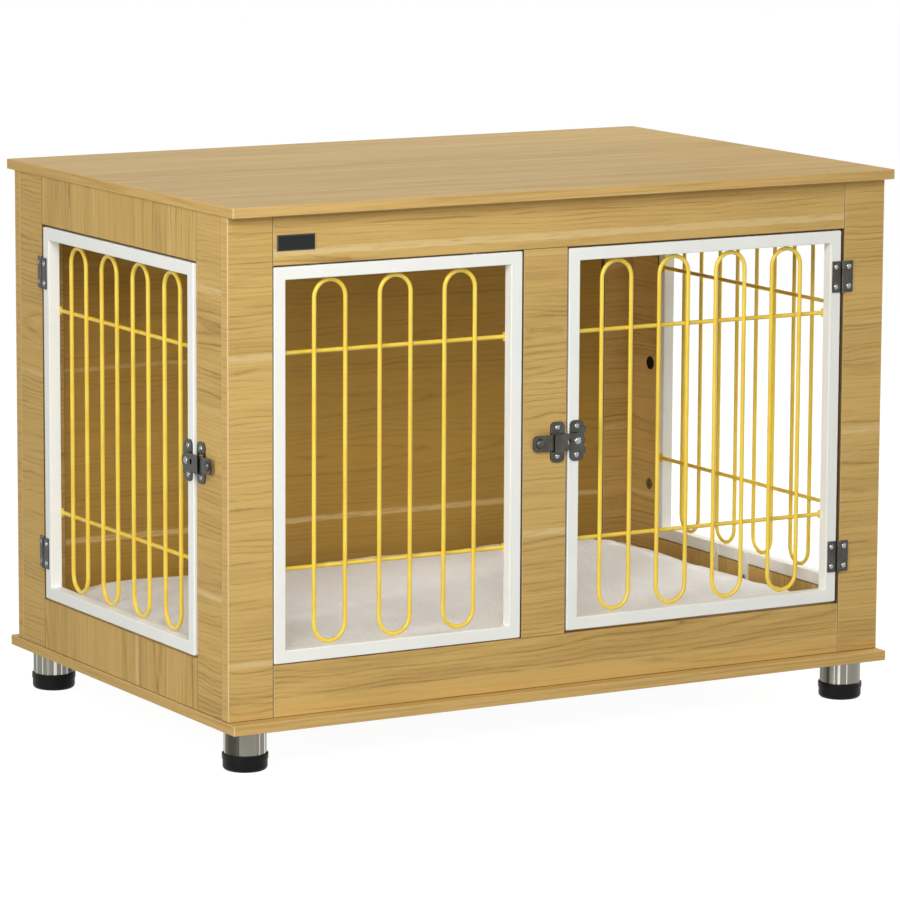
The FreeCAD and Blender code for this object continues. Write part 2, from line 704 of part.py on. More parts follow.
def latch_plate(bay):
    """The door's plate: a boss for the bar and two ears turned back at its free edge."""
    way = latch_place(bay)[2]
    plate = face_plate(PLATE_WIDTH, PLATE_HEIGHT, (-PLATE_THICKNESS, 0))
    boss_face = bar_depth()[1] + RUN_GAP / 2
    pieces = [rod(V(0, boss_face, 0), V(0, 0, 0), BOSS_RADIUS)]
    edge = -way * PLATE_WIDTH / 2
    tip = edge - way * EAR_REACH
    bend = sorted((tip + way * PLATE_THICKNESS, tip))
    for z in (-EAR_STEP, EAR_STEP):
        tall = (z - EAR_HEIGHT / 2, z + EAR_HEIGHT / 2)
        pieces.append(block(sorted((0, tip)), (-PLATE_THICKNESS, 0), tall))
        pieces.append(block(bend, (-PLATE_THICKNESS, EAR_DEPTH), tall))
    whole = plate.fuse(pieces).removeSplitter().cut(pivot_hole(PIVOT_RADIUS + PIN_FIT))
    return at_latch(whole, bay).cut(latch_screws(bay, HOLE_ROOM))


def latch_screws(bay, room=0.0):
    """The two screws of the door's plate."""
    x, z, _ = latch_place(bay)
    heights = (z - PLATE_SCREW_STEP, z + PLATE_SCREW_STEP)
    return front_screws(bay, x, -PLATE_THICKNESS, heights, TUBE_SCREW_LENGTH, room, True)


def keeper(bay):
    """The keeper on the stile: a plate with a window, and a hook turned up out of it."""
    way = latch_place(bay)[2]
    plate = face_plate(PLATE_WIDTH, PLATE_HEIGHT, (-PLATE_THICKNESS, 0))
    half = HOOK_WIDTH / 2
    floor = -BAR_WIDTH / 2 - HOOK_CLEARANCE
    tip = BAR_WIDTH / 2
    window = block((-half, half), (-PLATE_THICKNESS - 1, 1), (floor, tip + HOOK_CLEARANCE))
    back = bar_depth()[0] - bay.proud - HOOK_CLEARANCE
    front = back - PLATE_THICKNESS
    web = block((-half, half), (front, 0), (floor - PLATE_THICKNESS, floor))
    tongue = block((-half, half), (front, back), (floor - PLATE_THICKNESS, tip))
    outer = [edge for edge in tongue.Edges if edge.BoundBox.ZMin > tip - 1 and edge.BoundBox.XLength < 1]
    tongue = tongue.makeFillet(half * 0.4, outer)
    whole = plate.cut(window).fuse([web, tongue]).removeSplitter()
    x, z, _ = latch_place(bay)
    whole = on_face(moved(whole, x + way * KEEPER_FROM_PIVOT, 0, z), bay.face)
    return whole.cut(keeper_screws(bay, HOLE_ROOM))


def keeper_screws(bay, room=0.0):
    """The two screws of the keeper."""
    x, z, way = latch_place(bay)
    heights = (z - PLATE_SCREW_STEP, z + PLATE_SCREW_STEP)
    spot = x + way * KEEPER_FROM_PIVOT
    return front_screws(bay, spot, -PLATE_THICKNESS, heights, WOOD_SCREW_LENGTH, room)


def flip_bar(bay):
    """The bar that swings down into the keeper's hook, with a thumb button near its end."""
    way = latch_place(bay)[2]
    y = bar_depth()
    radius = BAR_WIDTH / 2
    far = way * (BAR_REACH - radius)
    tip = sorted((far, way * 2 * BAR_REACH))
    bar = block(sorted((0, way * BAR_REACH)), y, (-radius, radius))
    bar = bar.makeFillet(BAR_CORNER, upright_corners(bar, *tip))
    bar = bar.fuse(rod(V(0, y[0], 0), V(0, y[1], 0), radius)).removeSplitter()
    slot_x = way * SLOT_FROM_PIVOT
    tall = (SLOT_HEIGHT - SLOT_WIDTH) / 2
    half = SLOT_WIDTH / 2
    through = (y[0] - 1, y[1] + 1)
    slot = block((slot_x - half, slot_x + half), through, (-tall, tall))
    slot = slot.fuse([rod(V(slot_x, through[0], z), V(slot_x, through[1], z), half) for z in (-tall, tall)])
    button = moved(facing(dome(BUTTON_RADIUS, BUTTON_HEIGHT)), far, y[0], 0)
    whole = bar.cut(slot).cut(pivot_hole(PIVOT_RADIUS + PIN_FIT)).fuse(button)
    return at_latch(whole.removeSplitter(), bay)


def latch_pivot(bay):
    """The rivet that the bar swings on."""
    front = bar_depth()[0] - RUN_GAP / 2
    head = moved(facing(dome(PIVOT_HEAD_RADIUS, PIVOT_HEAD_HEIGHT)), 0, front, 0)
    return at_latch(head.fuse(rod(V(0, 0, 0), V(0, front, 0), PIVOT_RADIUS)).removeSplitter(), bay)


# ---------------------------------------------------------------- nameplate and cushion


def nameplate():
    """A small blank plate on the front's top rail, bevelled all round."""
    left = NAMEPLATE_FROM_POST - OPENING_HALF
    middle = OPENING_HEAD + NAMEPLATE_RISE
    tall = (middle - NAMEPLATE_HEIGHT / 2, middle + NAMEPLATE_HEIGHT / 2)
    plain = block((left, left + NAMEPLATE_WIDTH), (-NAMEPLATE_THICKNESS, 0), tall)
    outer = [edge for edge in plain.Edges if edge.BoundBox.YMax < -NAMEPLATE_THICKNESS / 2]
    return on_face(plain.makeChamfer(NAMEPLATE_BEVEL, outer), "front")


def cushion_outline(z, shrink):
    """A closed outline of the cushion at one height: round corners and drawn-in sides."""
    half_x = BODY_WIDTH / 2 - BOARD - CUSHION_SIDE_GAP - shrink
    half_y = BODY_DEPTH / 2 - BOARD - CUSHION_SIDE_GAP - shrink
    corner = CUSHION_CORNER
    quarter = corner * (1 - math.sqrt(0.5))
    edges = []
    for sx, sy in ((1, 1), (-1, 1), (-1, -1), (1, -1)):
        along_x = V(sx * (half_x - corner), sy * half_y, z)
        along_y = V(sx * half_x, sy * (half_y - corner), z)
        middle = V(sx * (half_x - quarter), sy * (half_y - quarter), z)
        ends = (along_y, along_x) if sx * sy > 0 else (along_x, along_y)
        edges.append(Part.Arc(ends[0], middle, ends[1]).toShape())
        if sx * sy > 0:
            drawn = V(0, sy * (half_y - CUSHION_DRAW_IN), z)
            edges.append(Part.Arc(ends[1], drawn, V(-ends[1].x, ends[1].y, z)).toShape())
        else:
            drawn = V(sx * (half_x - CUSHION_DRAW_IN), 0, z)
            edges.append(Part.Arc(ends[1], drawn, V(ends[1].x, -ends[1].y, z)).toShape())
    return Part.Wire(edges)


def cushion_levels():
    """Heights above the seat, each with how far the outline is shrunk there."""
    half = CUSHION_SIDE / 2
    levels = []
    for step in range(-CUSHION_STEPS, CUSHION_STEPS + 1):
        angle = math.radians(90 * step / CUSHION_STEPS)
        levels.append((half + half * math.sin(angle), CUSHION_ROLL * (1 - math.cos(angle))))
    for step in range(1, CUSHION_STEPS + 1):
        share = step / CUSHION_STEPS
        rise = CUSHION_CROWN * (1 - (1 - share) ** 2)
        levels.append((CUSHION_SIDE + rise, CUSHION_ROLL + CUSHION_CROWN_RUN * share))
    return levels


def cushion():
    """The floor cushion: flat underneath, rolled at its edge and crowned in the middle."""
    seat = BASE_TOP + CUSHION_SEAT_GAP
    outlines = [cushion_outline(seat + rise, shrink) for rise, shrink in cushion_levels()]
    return Part.makeLoft(outlines, True, True)


# ---------------------------------------------------------------- the whole piece


def make_carcass():
    """Slabs, boards, feet and what is fixed to them."""
    places = cam_places()
    windows = {"front_window": FRONT_WINDOW, "right_window": RIGHT_WINDOW}
    doors = {"front": FRONT_DOOR, "side": SIDE_DOOR}
    holes = dowels(HOLE_ROOM) + base_screws(HOLE_ROOM)
    holes += [cam_bolt(face, x, z, way, HOLE_ROOM) for face, x, z, way, _ in places]
    holes += [cam_hole(face, x, z) for face, x, z, _, _ in places]
    holes += [leg_stud(place, HOLE_ROOM) for place in leg_places().values()]
    holes += tab_screws(HOLE_ROOM)
    for bay in windows.values():
        holes += window_pins(bay, HOLE_ROOM)
    fittings = tab_screws()
    for name, bay in doors.items():
        holes += keeper_screws(bay, HOLE_ROOM)
        fittings += keeper_screws(bay)
        leaves = []
        pins = []
        for z in hinge_places(bay)[1]:
            holes += leaf_screws(bay, z, False, HOLE_ROOM)
            fittings += leaf_screws(bay, z, False)
            leaves.append(hinge_leaf(bay, z, False))
            pins.append(hinge_pin(bay, z))
        save(f"{name}_hinge_fixed_leaves", *leaves)
        save(f"{name}_hinge_pins", *pins)
        save(f"{name}_latch_keeper", keeper(bay))
    save("table_top", drill(slab(CARCASS_TOP), holes))
    save("base_board", drill(slab(FOOT_HEIGHT), holes))
    for name, board in carcass_boards().items():
        save(name, drill(board, holes))
    for name, bay in windows.items():
        pin_holes = window_pins(bay, HOLE_ROOM) + grille_screws(bay, HOLE_ROOM)
        save(f"{name}_frame", drill(welded_frame(bay), pin_holes))
        save(f"{name}_grille", grille(bay))
    save("window_grille_screws", *[one for bay in windows.values() for one in grille_screws(bay)])
    save("window_pins", *[pin for bay in windows.values() for pin in window_pins(bay)])
    save("window_tabs", *window_tabs())
    save("carcass_fitting_screws", *fittings)
    save("rail_dowels", *dowels())
    save("cam_locks", *[cam_lock(face, x, z, way) for face, x, z, way, _ in places])
    save("cam_bolts", *[cam_bolt(face, x, z, way) for face, x, z, way, _ in places])
    save("cam_cover_caps", *[cam_cap(face, x, z) for face, x, z, _, capped in places if capped])
    save("base_screws", *base_screws())
    save("nameplate", nameplate())
    save("cushion", cushion())


def make_feet():
    """The four feet."""
    for name, place in leg_places().items():
        save(f"{name}_leg_tube", leg_tube(place))
    save("leg_cups", *[leg_cup(place) for place in leg_places().values()])
    save("leg_studs", *[leg_stud(place) for place in leg_places().values()])


def make_door(name, bay):
    """A door: frame, grille, its hinge leaves, its latch plate and the flip bar on it."""
    heights = hinge_places(bay)[1]
    holes = grille_screws(bay, HOLE_ROOM) + latch_screws(bay, HOLE_ROOM)
    screws = grille_screws(bay) + latch_screws(bay)
    for z in heights:
        holes += leaf_screws(bay, z, True, HOLE_ROOM)
        screws += leaf_screws(bay, z, True)
    save(f"{name}_door_frame", drill(welded_frame(bay), holes))
    save(f"{name}_door_grille", grille(bay))
    save(f"{name}_door_screws", *screws)
    save(f"{name}_hinge_door_leaves", *[hinge_leaf(bay, z, True) for z in heights])
    save(f"{name}_latch_plate", latch_plate(bay))
    save(f"{name}_latch_pivot", latch_pivot(bay))
    save(f"{name}_latch_bar", flip_bar(bay))


make_carcass()
make_feet()
make_door("front", FRONT_DOOR)
make_door("side", SIDE_DOOR)
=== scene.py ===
# %% [markdown]
# # A dog crate end table
# This is a boarded box on four short steel feet. Its front holds a barred window and a barred
# door, its left side a second door, its right side a second window, and a plush cushion lies
# inside. The solid model already has every board, frame, wire, hinge and latch in its place, so
# this lesson is about what a solid model lacks: finishes, a soft cushion, and light.
# We begin by loading the solids. They arrive in metres, with the front towards -Y.

# %% Load the solids
import math
import random

import bmesh
import bpy
from mathutils import Matrix, Vector, noise


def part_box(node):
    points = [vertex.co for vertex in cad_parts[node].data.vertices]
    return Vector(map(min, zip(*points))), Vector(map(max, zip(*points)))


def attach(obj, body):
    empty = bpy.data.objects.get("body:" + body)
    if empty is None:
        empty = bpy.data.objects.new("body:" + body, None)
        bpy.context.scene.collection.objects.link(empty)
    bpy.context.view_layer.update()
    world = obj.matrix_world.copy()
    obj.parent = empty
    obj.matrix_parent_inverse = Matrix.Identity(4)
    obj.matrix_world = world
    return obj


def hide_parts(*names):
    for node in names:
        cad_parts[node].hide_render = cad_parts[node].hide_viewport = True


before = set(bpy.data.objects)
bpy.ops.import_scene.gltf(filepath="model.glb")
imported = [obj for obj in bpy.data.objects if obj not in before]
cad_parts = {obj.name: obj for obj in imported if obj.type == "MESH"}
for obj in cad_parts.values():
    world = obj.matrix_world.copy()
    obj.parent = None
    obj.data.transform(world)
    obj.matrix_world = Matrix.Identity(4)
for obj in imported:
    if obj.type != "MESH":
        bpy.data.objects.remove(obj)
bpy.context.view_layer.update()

# %% [markdown]
# ## Shader maths as plain sums
# A procedural finish is mostly arithmetic on a position. Wiring Math nodes by hand hides the
# formula, so a small class wraps a socket and turns +, -, * and / into Math nodes. Anything else,
# such as a noise texture, goes through one method that takes the node's type, its settings and
# its inputs.


# %% A value that can be used in sums
class Value:
    """One output socket of a finish, usable in Python expressions."""

    def __init__(self, finish, socket):
        self.finish, self.socket = finish, socket

    def math(self, operation, *others, first=None):
        terms = (self, *others) if first is None else (first, self)
        return self.finish.node("ShaderNodeMath", {"operation": operation}, dict(enumerate(terms)))

    def __add__(self, other):
        return self.math("ADD", other)

    def __sub__(self, other):
        return self.math("SUBTRACT", other)

    def __rsub__(self, other):
        return self.math("SUBTRACT", first=other)

    def __mul__(self, other):
        return self.math("MULTIPLY", other)

    def __truediv__(self, other):
        return self.math("DIVIDE", other)

    def __pow__(self, other):
        return self.math("POWER", other)

    __radd__, __rmul__ = __add__, __mul__


# %% A finish: one material and its surface shader
def set_stops(ramp, interpolation, stops):
    """Give a colour ramp its stops, each a place from 0 to 1 and a colour."""
    ramp.interpolation = interpolation
    while len(ramp.elements) > 1:
        ramp.elements.remove(ramp.elements[-1])
    for i, (place, colour) in enumerate(stops):
        element = ramp.elements[0] if i == 0 else ramp.elements.new(place)
        element.position, element.color = place, colour


class Finish:
    """A material with one Principled shader, and the nodes that feed it."""

    def __init__(self, name, **constants):
        self.material = bpy.data.materials.new(name)
        self.material.use_nodes = True
        self.tree = self.material.node_tree
        self.skin = self.tree.nodes["Principled BSDF"]
        for socket, value in constants.items():
            self.feed(socket.replace("_", " "), value)

    def put(self, socket, value):
        if isinstance(value, Value):
            self.tree.links.new(value.socket, socket)
        elif isinstance(value, tuple) and len(value) == 3 and socket.type == "RGBA":
            socket.default_value = (*value, 1.0)
        else:
            socket.default_value = value

    def feed(self, socket, value):
        self.put(self.skin.inputs[socket], value)

    def node(self, kind, settings, inputs, output=0):
        made = self.tree.nodes.new(kind)
        for key, value in settings.items():
            if key == "stops":
                set_stops(made.color_ramp, *value)
            else:
                setattr(made, key, value)
        for key, value in inputs.items():
            self.put(made.inputs[key], value)
        return Value(self, made.outputs[output])


print("shader helpers ready")

# %% [markdown]
# A few helpers come back in every finish: a position in millimetres, a noise that is stretched
# along some axes, a soft step, and a mix of two colours. Each one adds the nodes and hands back a
# value, so that a finish below reads like a recipe.


# %% Helpers that every finish shares
def place_in_mm(finish):
    """The position on the object, as three values in millimetres."""
    point = finish.node("ShaderNodeTexCoord", {}, {}, "Object")
    split = finish.node("ShaderNodeSeparateXYZ", {}, {"Vector": point}).socket.node
    return [Value(finish, split.outputs[axis]) * 1000 for axis in range(3)]


def cloud(finish, x, y, z, detail=2.0, rough=0.5):
    """Noise from about 0 to 1 at three values, one cell to each unit."""
    where = finish.node("ShaderNodeCombineXYZ", {}, {"X": x, "Y": y, "Z": z})
    inputs = {"Vector": where, "Scale": 1.0, "Detail": detail, "Roughness": rough}
    return finish.node("ShaderNodeTexNoise", {}, inputs, "Fac")


def rise(finish, value, start, end):
    """0 below start, 1 above end, and a smooth climb between them."""
    settings = {"interpolation_type": "SMOOTHSTEP"}
    inputs = {"Value": value, "From Min": start, "From Max": end}
    return finish.node("ShaderNodeMapRange", settings, inputs)


def blend_colours(finish, share, first, second):
    """A mix of two colours."""
    mix = finish.node("ShaderNodeMix", {"data_type": "RGBA"}, {0: share, 6: first, 7: second}, 2)
    return mix


def luma(finish, colour):
    """The grey value of a colour, for use in sums."""
    return finish.node("ShaderNodeRGBToBW", {}, {"Color": colour})


def relief(finish, height, distance, strength=1.0):
    """Turn a height into a bump on the surface."""
    inputs = {"Height": height, "Distance": distance, "Strength": strength}
    finish.feed("Normal", finish.node("ShaderNodeBump", {}, inputs))


print("finish helpers ready")

# %% [markdown]
# ## Oak print laminate
# The boards are not solid oak: they are chipboard under a printed foil. The print shows planks
# side by side, each with its own growth rings, and pale sapwood where two planks meet. A flat
# noise would look like marble, so we do what a saw does: each plank is a slice through a set of
# long, slightly tilted rings. That gives fine level lines where the slice is far from the heart
# of the log, and pointed arches where it runs close to it.

# %% Colours of the print
OAK_LIGHT = (0.685, 0.458, 0.158)
OAK_SHADED_PRINT = (0.530, 0.325, 0.075)  # painted shade: the rear panel lies mostly in the shade inside the box, so it gets a darker, deeper copy of the print
OAK_LINE = (0.330, 0.190, 0.050)
OAK_PALE = (0.740, 0.550, 0.250)
OAK_BAND = (0.690, 0.450, 0.160)
# painted highlight: the pale line along eased corners
OAK_EDGE_HIGHLIGHT = (0.800, 0.620, 0.340)
# painted shade: the dark line in the joints between boards
OAK_JOINT_SHADE = (0.120, 0.060, 0.018)
RING_STEP = 5.6  # mm between two growth rings
print("print colours set")

# %% [markdown]
# A board's planks are listed by where one ends and the next begins, in mm across the grain, and
# by how much pale sapwood shows there. Boards that are left out of the list get theirs by chance.

# %% Where planks meet
JOINTS = {
    "table_top": [(-184, 0.75), (-96, 0.12), (-3, 0.65), (92, 0.12), (186, 0.75)],
    "front_left_post": [(128, 0.9), (190, 0.2), (252, 0.15), (315, 0.35), (358, 0.1), (400, 0.5), (461, 0.3), (481, 0.9), (551, 0.25)],
    "front_right_post": [(112, 0.2), (178, 0.25), (256, 0.3), (336, 0.95), (402, 0.2), (470, 0.4), (533, 0.25), (600, 0.2)],
    "front_centre_stile": [(190, 0.15), (248, 0.95), (303, 0.2), (356, 0.2), (430, 0.3), (503, 0.2), (578, 0.5)],
    "front_top_rail": [(599, 0.95), (626, 0.2)],
    "front_bottom_rail": [(84, 0.2)],
    "rear_panel": [(116, 0.2), (178, 0.9), (236, 0.1), (305, 0.25), (392, 0.6), (452, 0.2), (521, 0.3), (590, 0.2)],
    "left_front_stile": [(130, 0.2), (203, 0.95), (270, 0.2), (345, 0.15), (420, 0.3), (490, 0.15), (556, 0.9)],
    "left_rear_stile": [(118, 0.3), (210, 0.2), (300, 0.3), (401, 0.8), (480, 0.2), (560, 0.3)],
    "left_bottom_rail": [(-176, 0.2), (-127, 0.3), (-48, 0.95), (-8, 0.25), (104, 0.3), (132, 0.2)],
    "left_top_rail": [(-137, 0.6), (-119, 0.2), (-30, 0.15), (60, 0.5), (120, 0.15)],
}


def plank_stops(board, low, high):
    """Stops of two colour ramps across a board: what is special to each plank (tone, place of
    the heart, depth of the heart, tilt), and how pale the wood is."""
    dice = random.Random(board)
    joints = JOINTS.get(board)
    if joints is None:
        joints, edge = [], low + dice.uniform(20, 60)
        while edge < high:
            joints.append((edge, dice.choice((0.15, 0.25, 0.8))))
            edge += dice.uniform(70, 120)
    starts = [low] + [edge for edge, _ in joints if low < edge < high]
    planks = []
    for start, end in zip(starts, starts[1:] + [high]):
        heart = (start + end) / 2 + dice.choice((-1, 1)) * dice.uniform(0.1, 0.9) * (end - start)
        share = min(1.0, max(0.0, (heart - low) / (high - low) / 2 + 0.25))
        planks.append(((start - low) / (high - low), (dice.random(), share, dice.random(), dice.random())))
    pale = [(0.0, (0, 0, 0, 1))]
    marked = [joint for joint in joints if joint[1] >= 0.3]
    for edge, strength in marked[:7]:
        if low + 3 < edge < high - 3:
            wide = 1.4 + 6.0 * max(0.0, strength - 0.6)
            for step, value in ((-wide - 1.2, 0), (-wide, strength), (wide, strength * 0.8), (wide + 1.2, 0)):
                pale.append(((edge + step - low) / (high - low), (value, value, value, 1)))
    return planks, pale


print("boards with known planks:", len(JOINTS))


# %% The rings of a board's planks
def plank_rings(finish, along, across, low, high, stops, seed):
    """The dark ring lines, the plank's own tone, and its pale streaks."""
    span = high - low
    planks, pale = stops
    wave = cloud(finish, along * 0.035, across * 0.02, seed) - 0.5
    place = (across + wave * 3 - low) / span
    settings = {"stops": ("CONSTANT", planks)}
    ramp = finish.node("ShaderNodeValToRGB", settings, {"Fac": place})
    split = finish.node("ShaderNodeSeparateColor", {}, {"Color": ramp}).socket.node
    tone, heart, depth = (Value(finish, split.outputs[i]) for i in range(3))
    tilt = Value(finish, ramp.socket.node.outputs["Alpha"])
    wander = cloud(finish, along * 0.0045, across * 0.01, heart * 40 + seed) - 0.5
    ripple = cloud(finish, along * 0.026, across * 0.08, heart * 30 + seed) - 0.5
    side = across - ((heart - 0.25) * (2 * span) + low) + wander * 26 + ripple * 4
    below = 4 + depth * 26 + along * ((tilt - 0.5) * 0.12)
    count = (side * side + below * below).math("SQRT") / RING_STEP
    ring = (count + ripple * 0.5).math("FRACT")
    number = (count + ripple * 0.5 + 0.5).math("FLOOR")
    chance = finish.node("ShaderNodeTexWhiteNoise", {"noise_dimensions": "1D"}, {"W": number + heart * 90 + seed})
    peak = ((ring - 0.5).math("ABSOLUTE") * 2) ** 3.6
    fade = rise(finish, cloud(finish, along * 0.014, across * 0.12, seed + 3), 0.3, 0.66)
    line = peak * (0.18 + chance * 0.82) * (0.3 + fade * 0.7)
    settings = {"stops": ("LINEAR", pale)}
    streak = finish.node("ShaderNodeValToRGB", settings, {"Fac": place + ripple * (2.5 / span)})
    broken = rise(finish, cloud(finish, along * 0.03, across * 0.3, seed + 8), 0.28, 0.5)
    return line, tone - 0.5, luma(finish, streak) * (0.25 + broken * 0.75)


# %% Edges of a board
def board_edges(finish, places, low, high, face, runs, ends):
    """Where the surface is edge band, where a corner gets a painted highlight (a pale line), and where
    painted shade darkens a joint or the lower edge. ends holds a letter for the low and the high end
    of each run: p for a painted highlight on the corner, j for joint shade with a painted highlight
    beside it, d for joint shade alone."""
    middle, half = (low[face] + high[face]) / 2, (high[face] - low[face]) / 2
    off_face = half - (places[face] - middle).math("ABSOLUTE")
    band, skin = rise(finish, off_face, 0.35, 0.75), rise(finish, off_face, 1.5, 0.9)
    lines, joint = [], skin * 0
    for run, pair in zip(runs, ends):
        line = skin * 0
        for letter, off in zip(pair, (places[run] - low[run], (places[run] - high[run]) * -1)):
            if letter in "pj":
                line = line.math("MAXIMUM", rise(finish, off, 1.5, 0.9))
            # painted shade in the joint at this end
            if letter in "jd":
                joint = joint.math("MAXIMUM", rise(finish, off, 0.7, 0.35))
        lines.append(line)
    # corner: a painted highlight, the pale line where an eased edge catches the light
    corner = lines[0] * skin
    if len(lines) > 1:
        corner = (corner.math("MAXIMUM", lines[1] * skin) * 0.3).math("MAXIMUM", lines[0] * lines[1])
    else:
        # painted shade along the lower edge of the board
        joint = joint.math("MAXIMUM", rise(finish, places[2] - low[2], 1.1, 0.5))
    return band, corner, joint


# %% A board's finish
def oak(board, grain, face, runs, ends):
    """Oak print on one board. grain, face and runs are axes: along the grain, out of the
    surface, and across the corners that show a line."""
    low, high = (corner * 1000 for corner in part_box(board))
    seed = random.Random(board).uniform(1, 60)
    slab = face == Z
    finish = Finish(f"oak_{board}", Specular_IOR_Level=0.04)
    places = place_in_mm(finish)
    width = 3 - grain - face
    along, across = places[grain], places[width]
    stops = plank_stops(board, low[width], high[width])
    line, tone, pale = plank_rings(finish, along, across, low[width], high[width], stops, seed)
    fibre = cloud(finish, along * 0.009, across * 0.5, seed, 3.0, 0.6) - 0.5
    cloudy = cloud(finish, along * 0.005, across * 0.05, seed + 5) - 0.5
    pore = rise(finish, cloud(finish, along * 0.07, across * 1.3, seed + 4), 0.58, 0.72)
    depth = 0.6 if slab else 1.0
    dark = line * (0.66 * depth) + fibre * (1.0 * depth) + cloudy * 0.75 + pore * (0.20 * depth) - tone * 0.24
    # painted shade: the rear panel takes the darker copy of the print
    light = OAK_SHADED_PRINT if board == "rear_panel" else OAK_LIGHT
    # painted shade: on the slabs, the table top and the base board, the print starts darker to hold back the strong
    # light on their upper faces
    colour = blend_colours(finish, rise(finish, dark, -0.42 if slab else -0.30, 0.95), light, OAK_LINE)
    colour = blend_colours(finish, pale + rise(finish, fibre + cloudy * 0.5, 0.05, 0.3) * 0.22, colour, OAK_PALE)
    band, corner, joint = board_edges(finish, places, low, high, face, runs, ends)
    x, y, z = places
    thread = cloud(finish, x * 0.008, y * 0.008, z * 0.45, 3.0, 0.6)
    flecks = blend_colours(finish, rise(finish, thread, 0.4, 0.75) * 0.45, OAK_BAND, OAK_LINE)
    colour = blend_colours(finish, band, colour, flecks)
    # painted highlight: a pale line along the corners
    colour = blend_colours(finish, corner * 0.7, colour, OAK_EDGE_HIGHLIGHT)
    # painted shade: a dark line in the joints and along lower edges
    finish.feed("Base Color", blend_colours(finish, joint * 0.85, colour, OAK_JOINT_SHADE))
    finish.feed("Roughness", 0.46 + line * 0.08 + pore * 0.1)
    relief(finish, fibre * 0.4 - line * 0.5 - pore, 0.0001, 0.4)
    return finish.material


# %% [markdown]
# Which way the print runs differs from board to board. On the front and the back it lies level
# everywhere, also on the posts, because all those boards are cut from level sheets. The side
# stiles are level too, but the side rails were cut the other way, so their grain stands upright.

# %% Dress the boards
X, Y, Z = 0, 1, 2
SLAB, RAIL, STILE = ((X, Y), ("pp", "pp")), ((X,), ("jj",)), ((X,), ("jd",))
SIDE_RAIL, SIDE_STILE = ((Y,), ("jj",)), ((Y,), ("dd",))
LEFT_POST, RIGHT_POST = ((X,), ("pd",)), ((X,), ("jp",))
BOARDS = {
    "table_top": (X, Z, SLAB), "base_board": (X, Z, SLAB), "rear_panel": (X, Y, RAIL),
    "front_left_post": (X, Y, LEFT_POST), "front_right_post": (X, Y, RIGHT_POST),
    "rear_left_post": (X, Y, LEFT_POST), "rear_right_post": (X, Y, RIGHT_POST),
    "front_bottom_rail": (X, Y, RAIL), "front_top_rail": (X, Y, RAIL),
    "front_centre_stile": (X, Y, STILE),
    "left_front_stile": (Y, X, SIDE_STILE), "left_rear_stile": (Y, X, SIDE_STILE),
    "right_front_stile": (Y, X, SIDE_STILE), "right_rear_stile": (Y, X, SIDE_STILE),
    "left_bottom_rail": (Z, X, SIDE_RAIL), "left_top_rail": (Z, X, SIDE_RAIL),
    "right_bottom_rail": (Z, X, SIDE_RAIL), "right_top_rail": (Z, X, SIDE_RAIL),
}


def dress(node, material):
    """Give a node of the solid model a finish."""
    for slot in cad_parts[node].material_slots:
        slot.material = material


for board, (grain, face, (runs, ends)) in BOARDS.items():
    dress(board, oak(board, grain, face, runs, ends))
print("boards:", len(BOARDS))

# %% [markdown]
# ## Paint on the frames and wires
# The frames are white powder coat: almost plain, with a faint orange peel and a hint of shade
# where the powder is thin. The wires are dipped in glossy yellow enamel, so their colour stays
# even and the detail is in the shine and in slightly thicker, darker paint here and there.


# %% White powder coat
def powder_coat():
    finish = Finish("white_powder_coat", Specular_IOR_Level=0.25)
    x, y, z = place_in_mm(finish)
    peel = cloud(finish, x * 0.9, y * 0.9, z * 0.9, 1.0)
    thin = rise(finish, cloud(finish, x * 0.02, y * 0.02, z * 0.02), 0.35, 0.7)
    colour = blend_colours(finish, thin, (0.935, 0.943, 0.890), (0.910, 0.918, 0.868))
    finish.feed("Base Color", colour)
    finish.feed("Roughness", 0.38 + peel * 0.12)
    relief(finish, peel, 0.00008, 0.6)
    return finish.material


WHITE = powder_coat()
print("white:", WHITE.name)


# %% Yellow enamel
def enamel():
    finish = Finish("yellow_enamel", Specular_IOR_Level=0.35, Coat_Roughness=0.15)
    x, y, z = place_in_mm(finish)
    dip = cloud(finish, x * 0.05, y * 0.05, z * 0.02)
    colour = blend_colours(finish, rise(finish, dip, 0.35, 0.7), (0.930, 0.680, 0.075), (0.860, 0.590, 0.050))
    finish.feed("Base Color", colour)
    finish.feed("Roughness", 0.26 + dip * 0.12)
    finish.feed("Coat Weight", 0.25)
    relief(finish, cloud(finish, x * 0.5, y * 0.5, z * 0.15), 0.0001, 0.5)
    return finish.material


YELLOW = enamel()
print("yellow:", YELLOW.name)

# %% [markdown]
# ## Metal, plastic and the small parts
# The hinges and latches are pressed steel under dark nickel. The feet are steel tube that was
# brushed on a lathe, so its fine scratches run round the tube. A metal shows its surroundings, so
# most of its look comes from the lamps further down, except on the feet, whose finish carries
# painted reflections. For the other metals we only set how dark the metal is and how its scratches spread the light.


# %% Metals
def steel(name, colour, worn, rough, scratch):
    """A metal with fine scratches; scratch holds their density along each axis, per mm."""
    finish = Finish(name, Metallic=1.0)
    x, y, z = place_in_mm(finish)
    fine = cloud(finish, x * scratch[0], y * scratch[1], z * scratch[2], 3.0, 0.6)
    blot = cloud(finish, x * 0.08, y * 0.08, z * 0.08)
    finish.feed("Base Color", blend_colours(finish, rise(finish, fine * 0.6 + blot * 0.4, 0.35, 0.7), colour, worn))
    finish.feed("Roughness", rough + fine * 0.12)
    relief(finish, fine, 0.00003, 0.4)
    return finish.material


NICKEL = steel("dark_nickel", (0.055, 0.054, 0.046), (0.105, 0.102, 0.090), 0.24, (0.5, 0.5, 3.0))
ZINC = steel("bright_zinc", (0.26, 0.27, 0.27), (0.40, 0.41, 0.41), 0.16, (1.2, 1.2, 1.2))
print("metals:", NICKEL.name, ZINC.name)
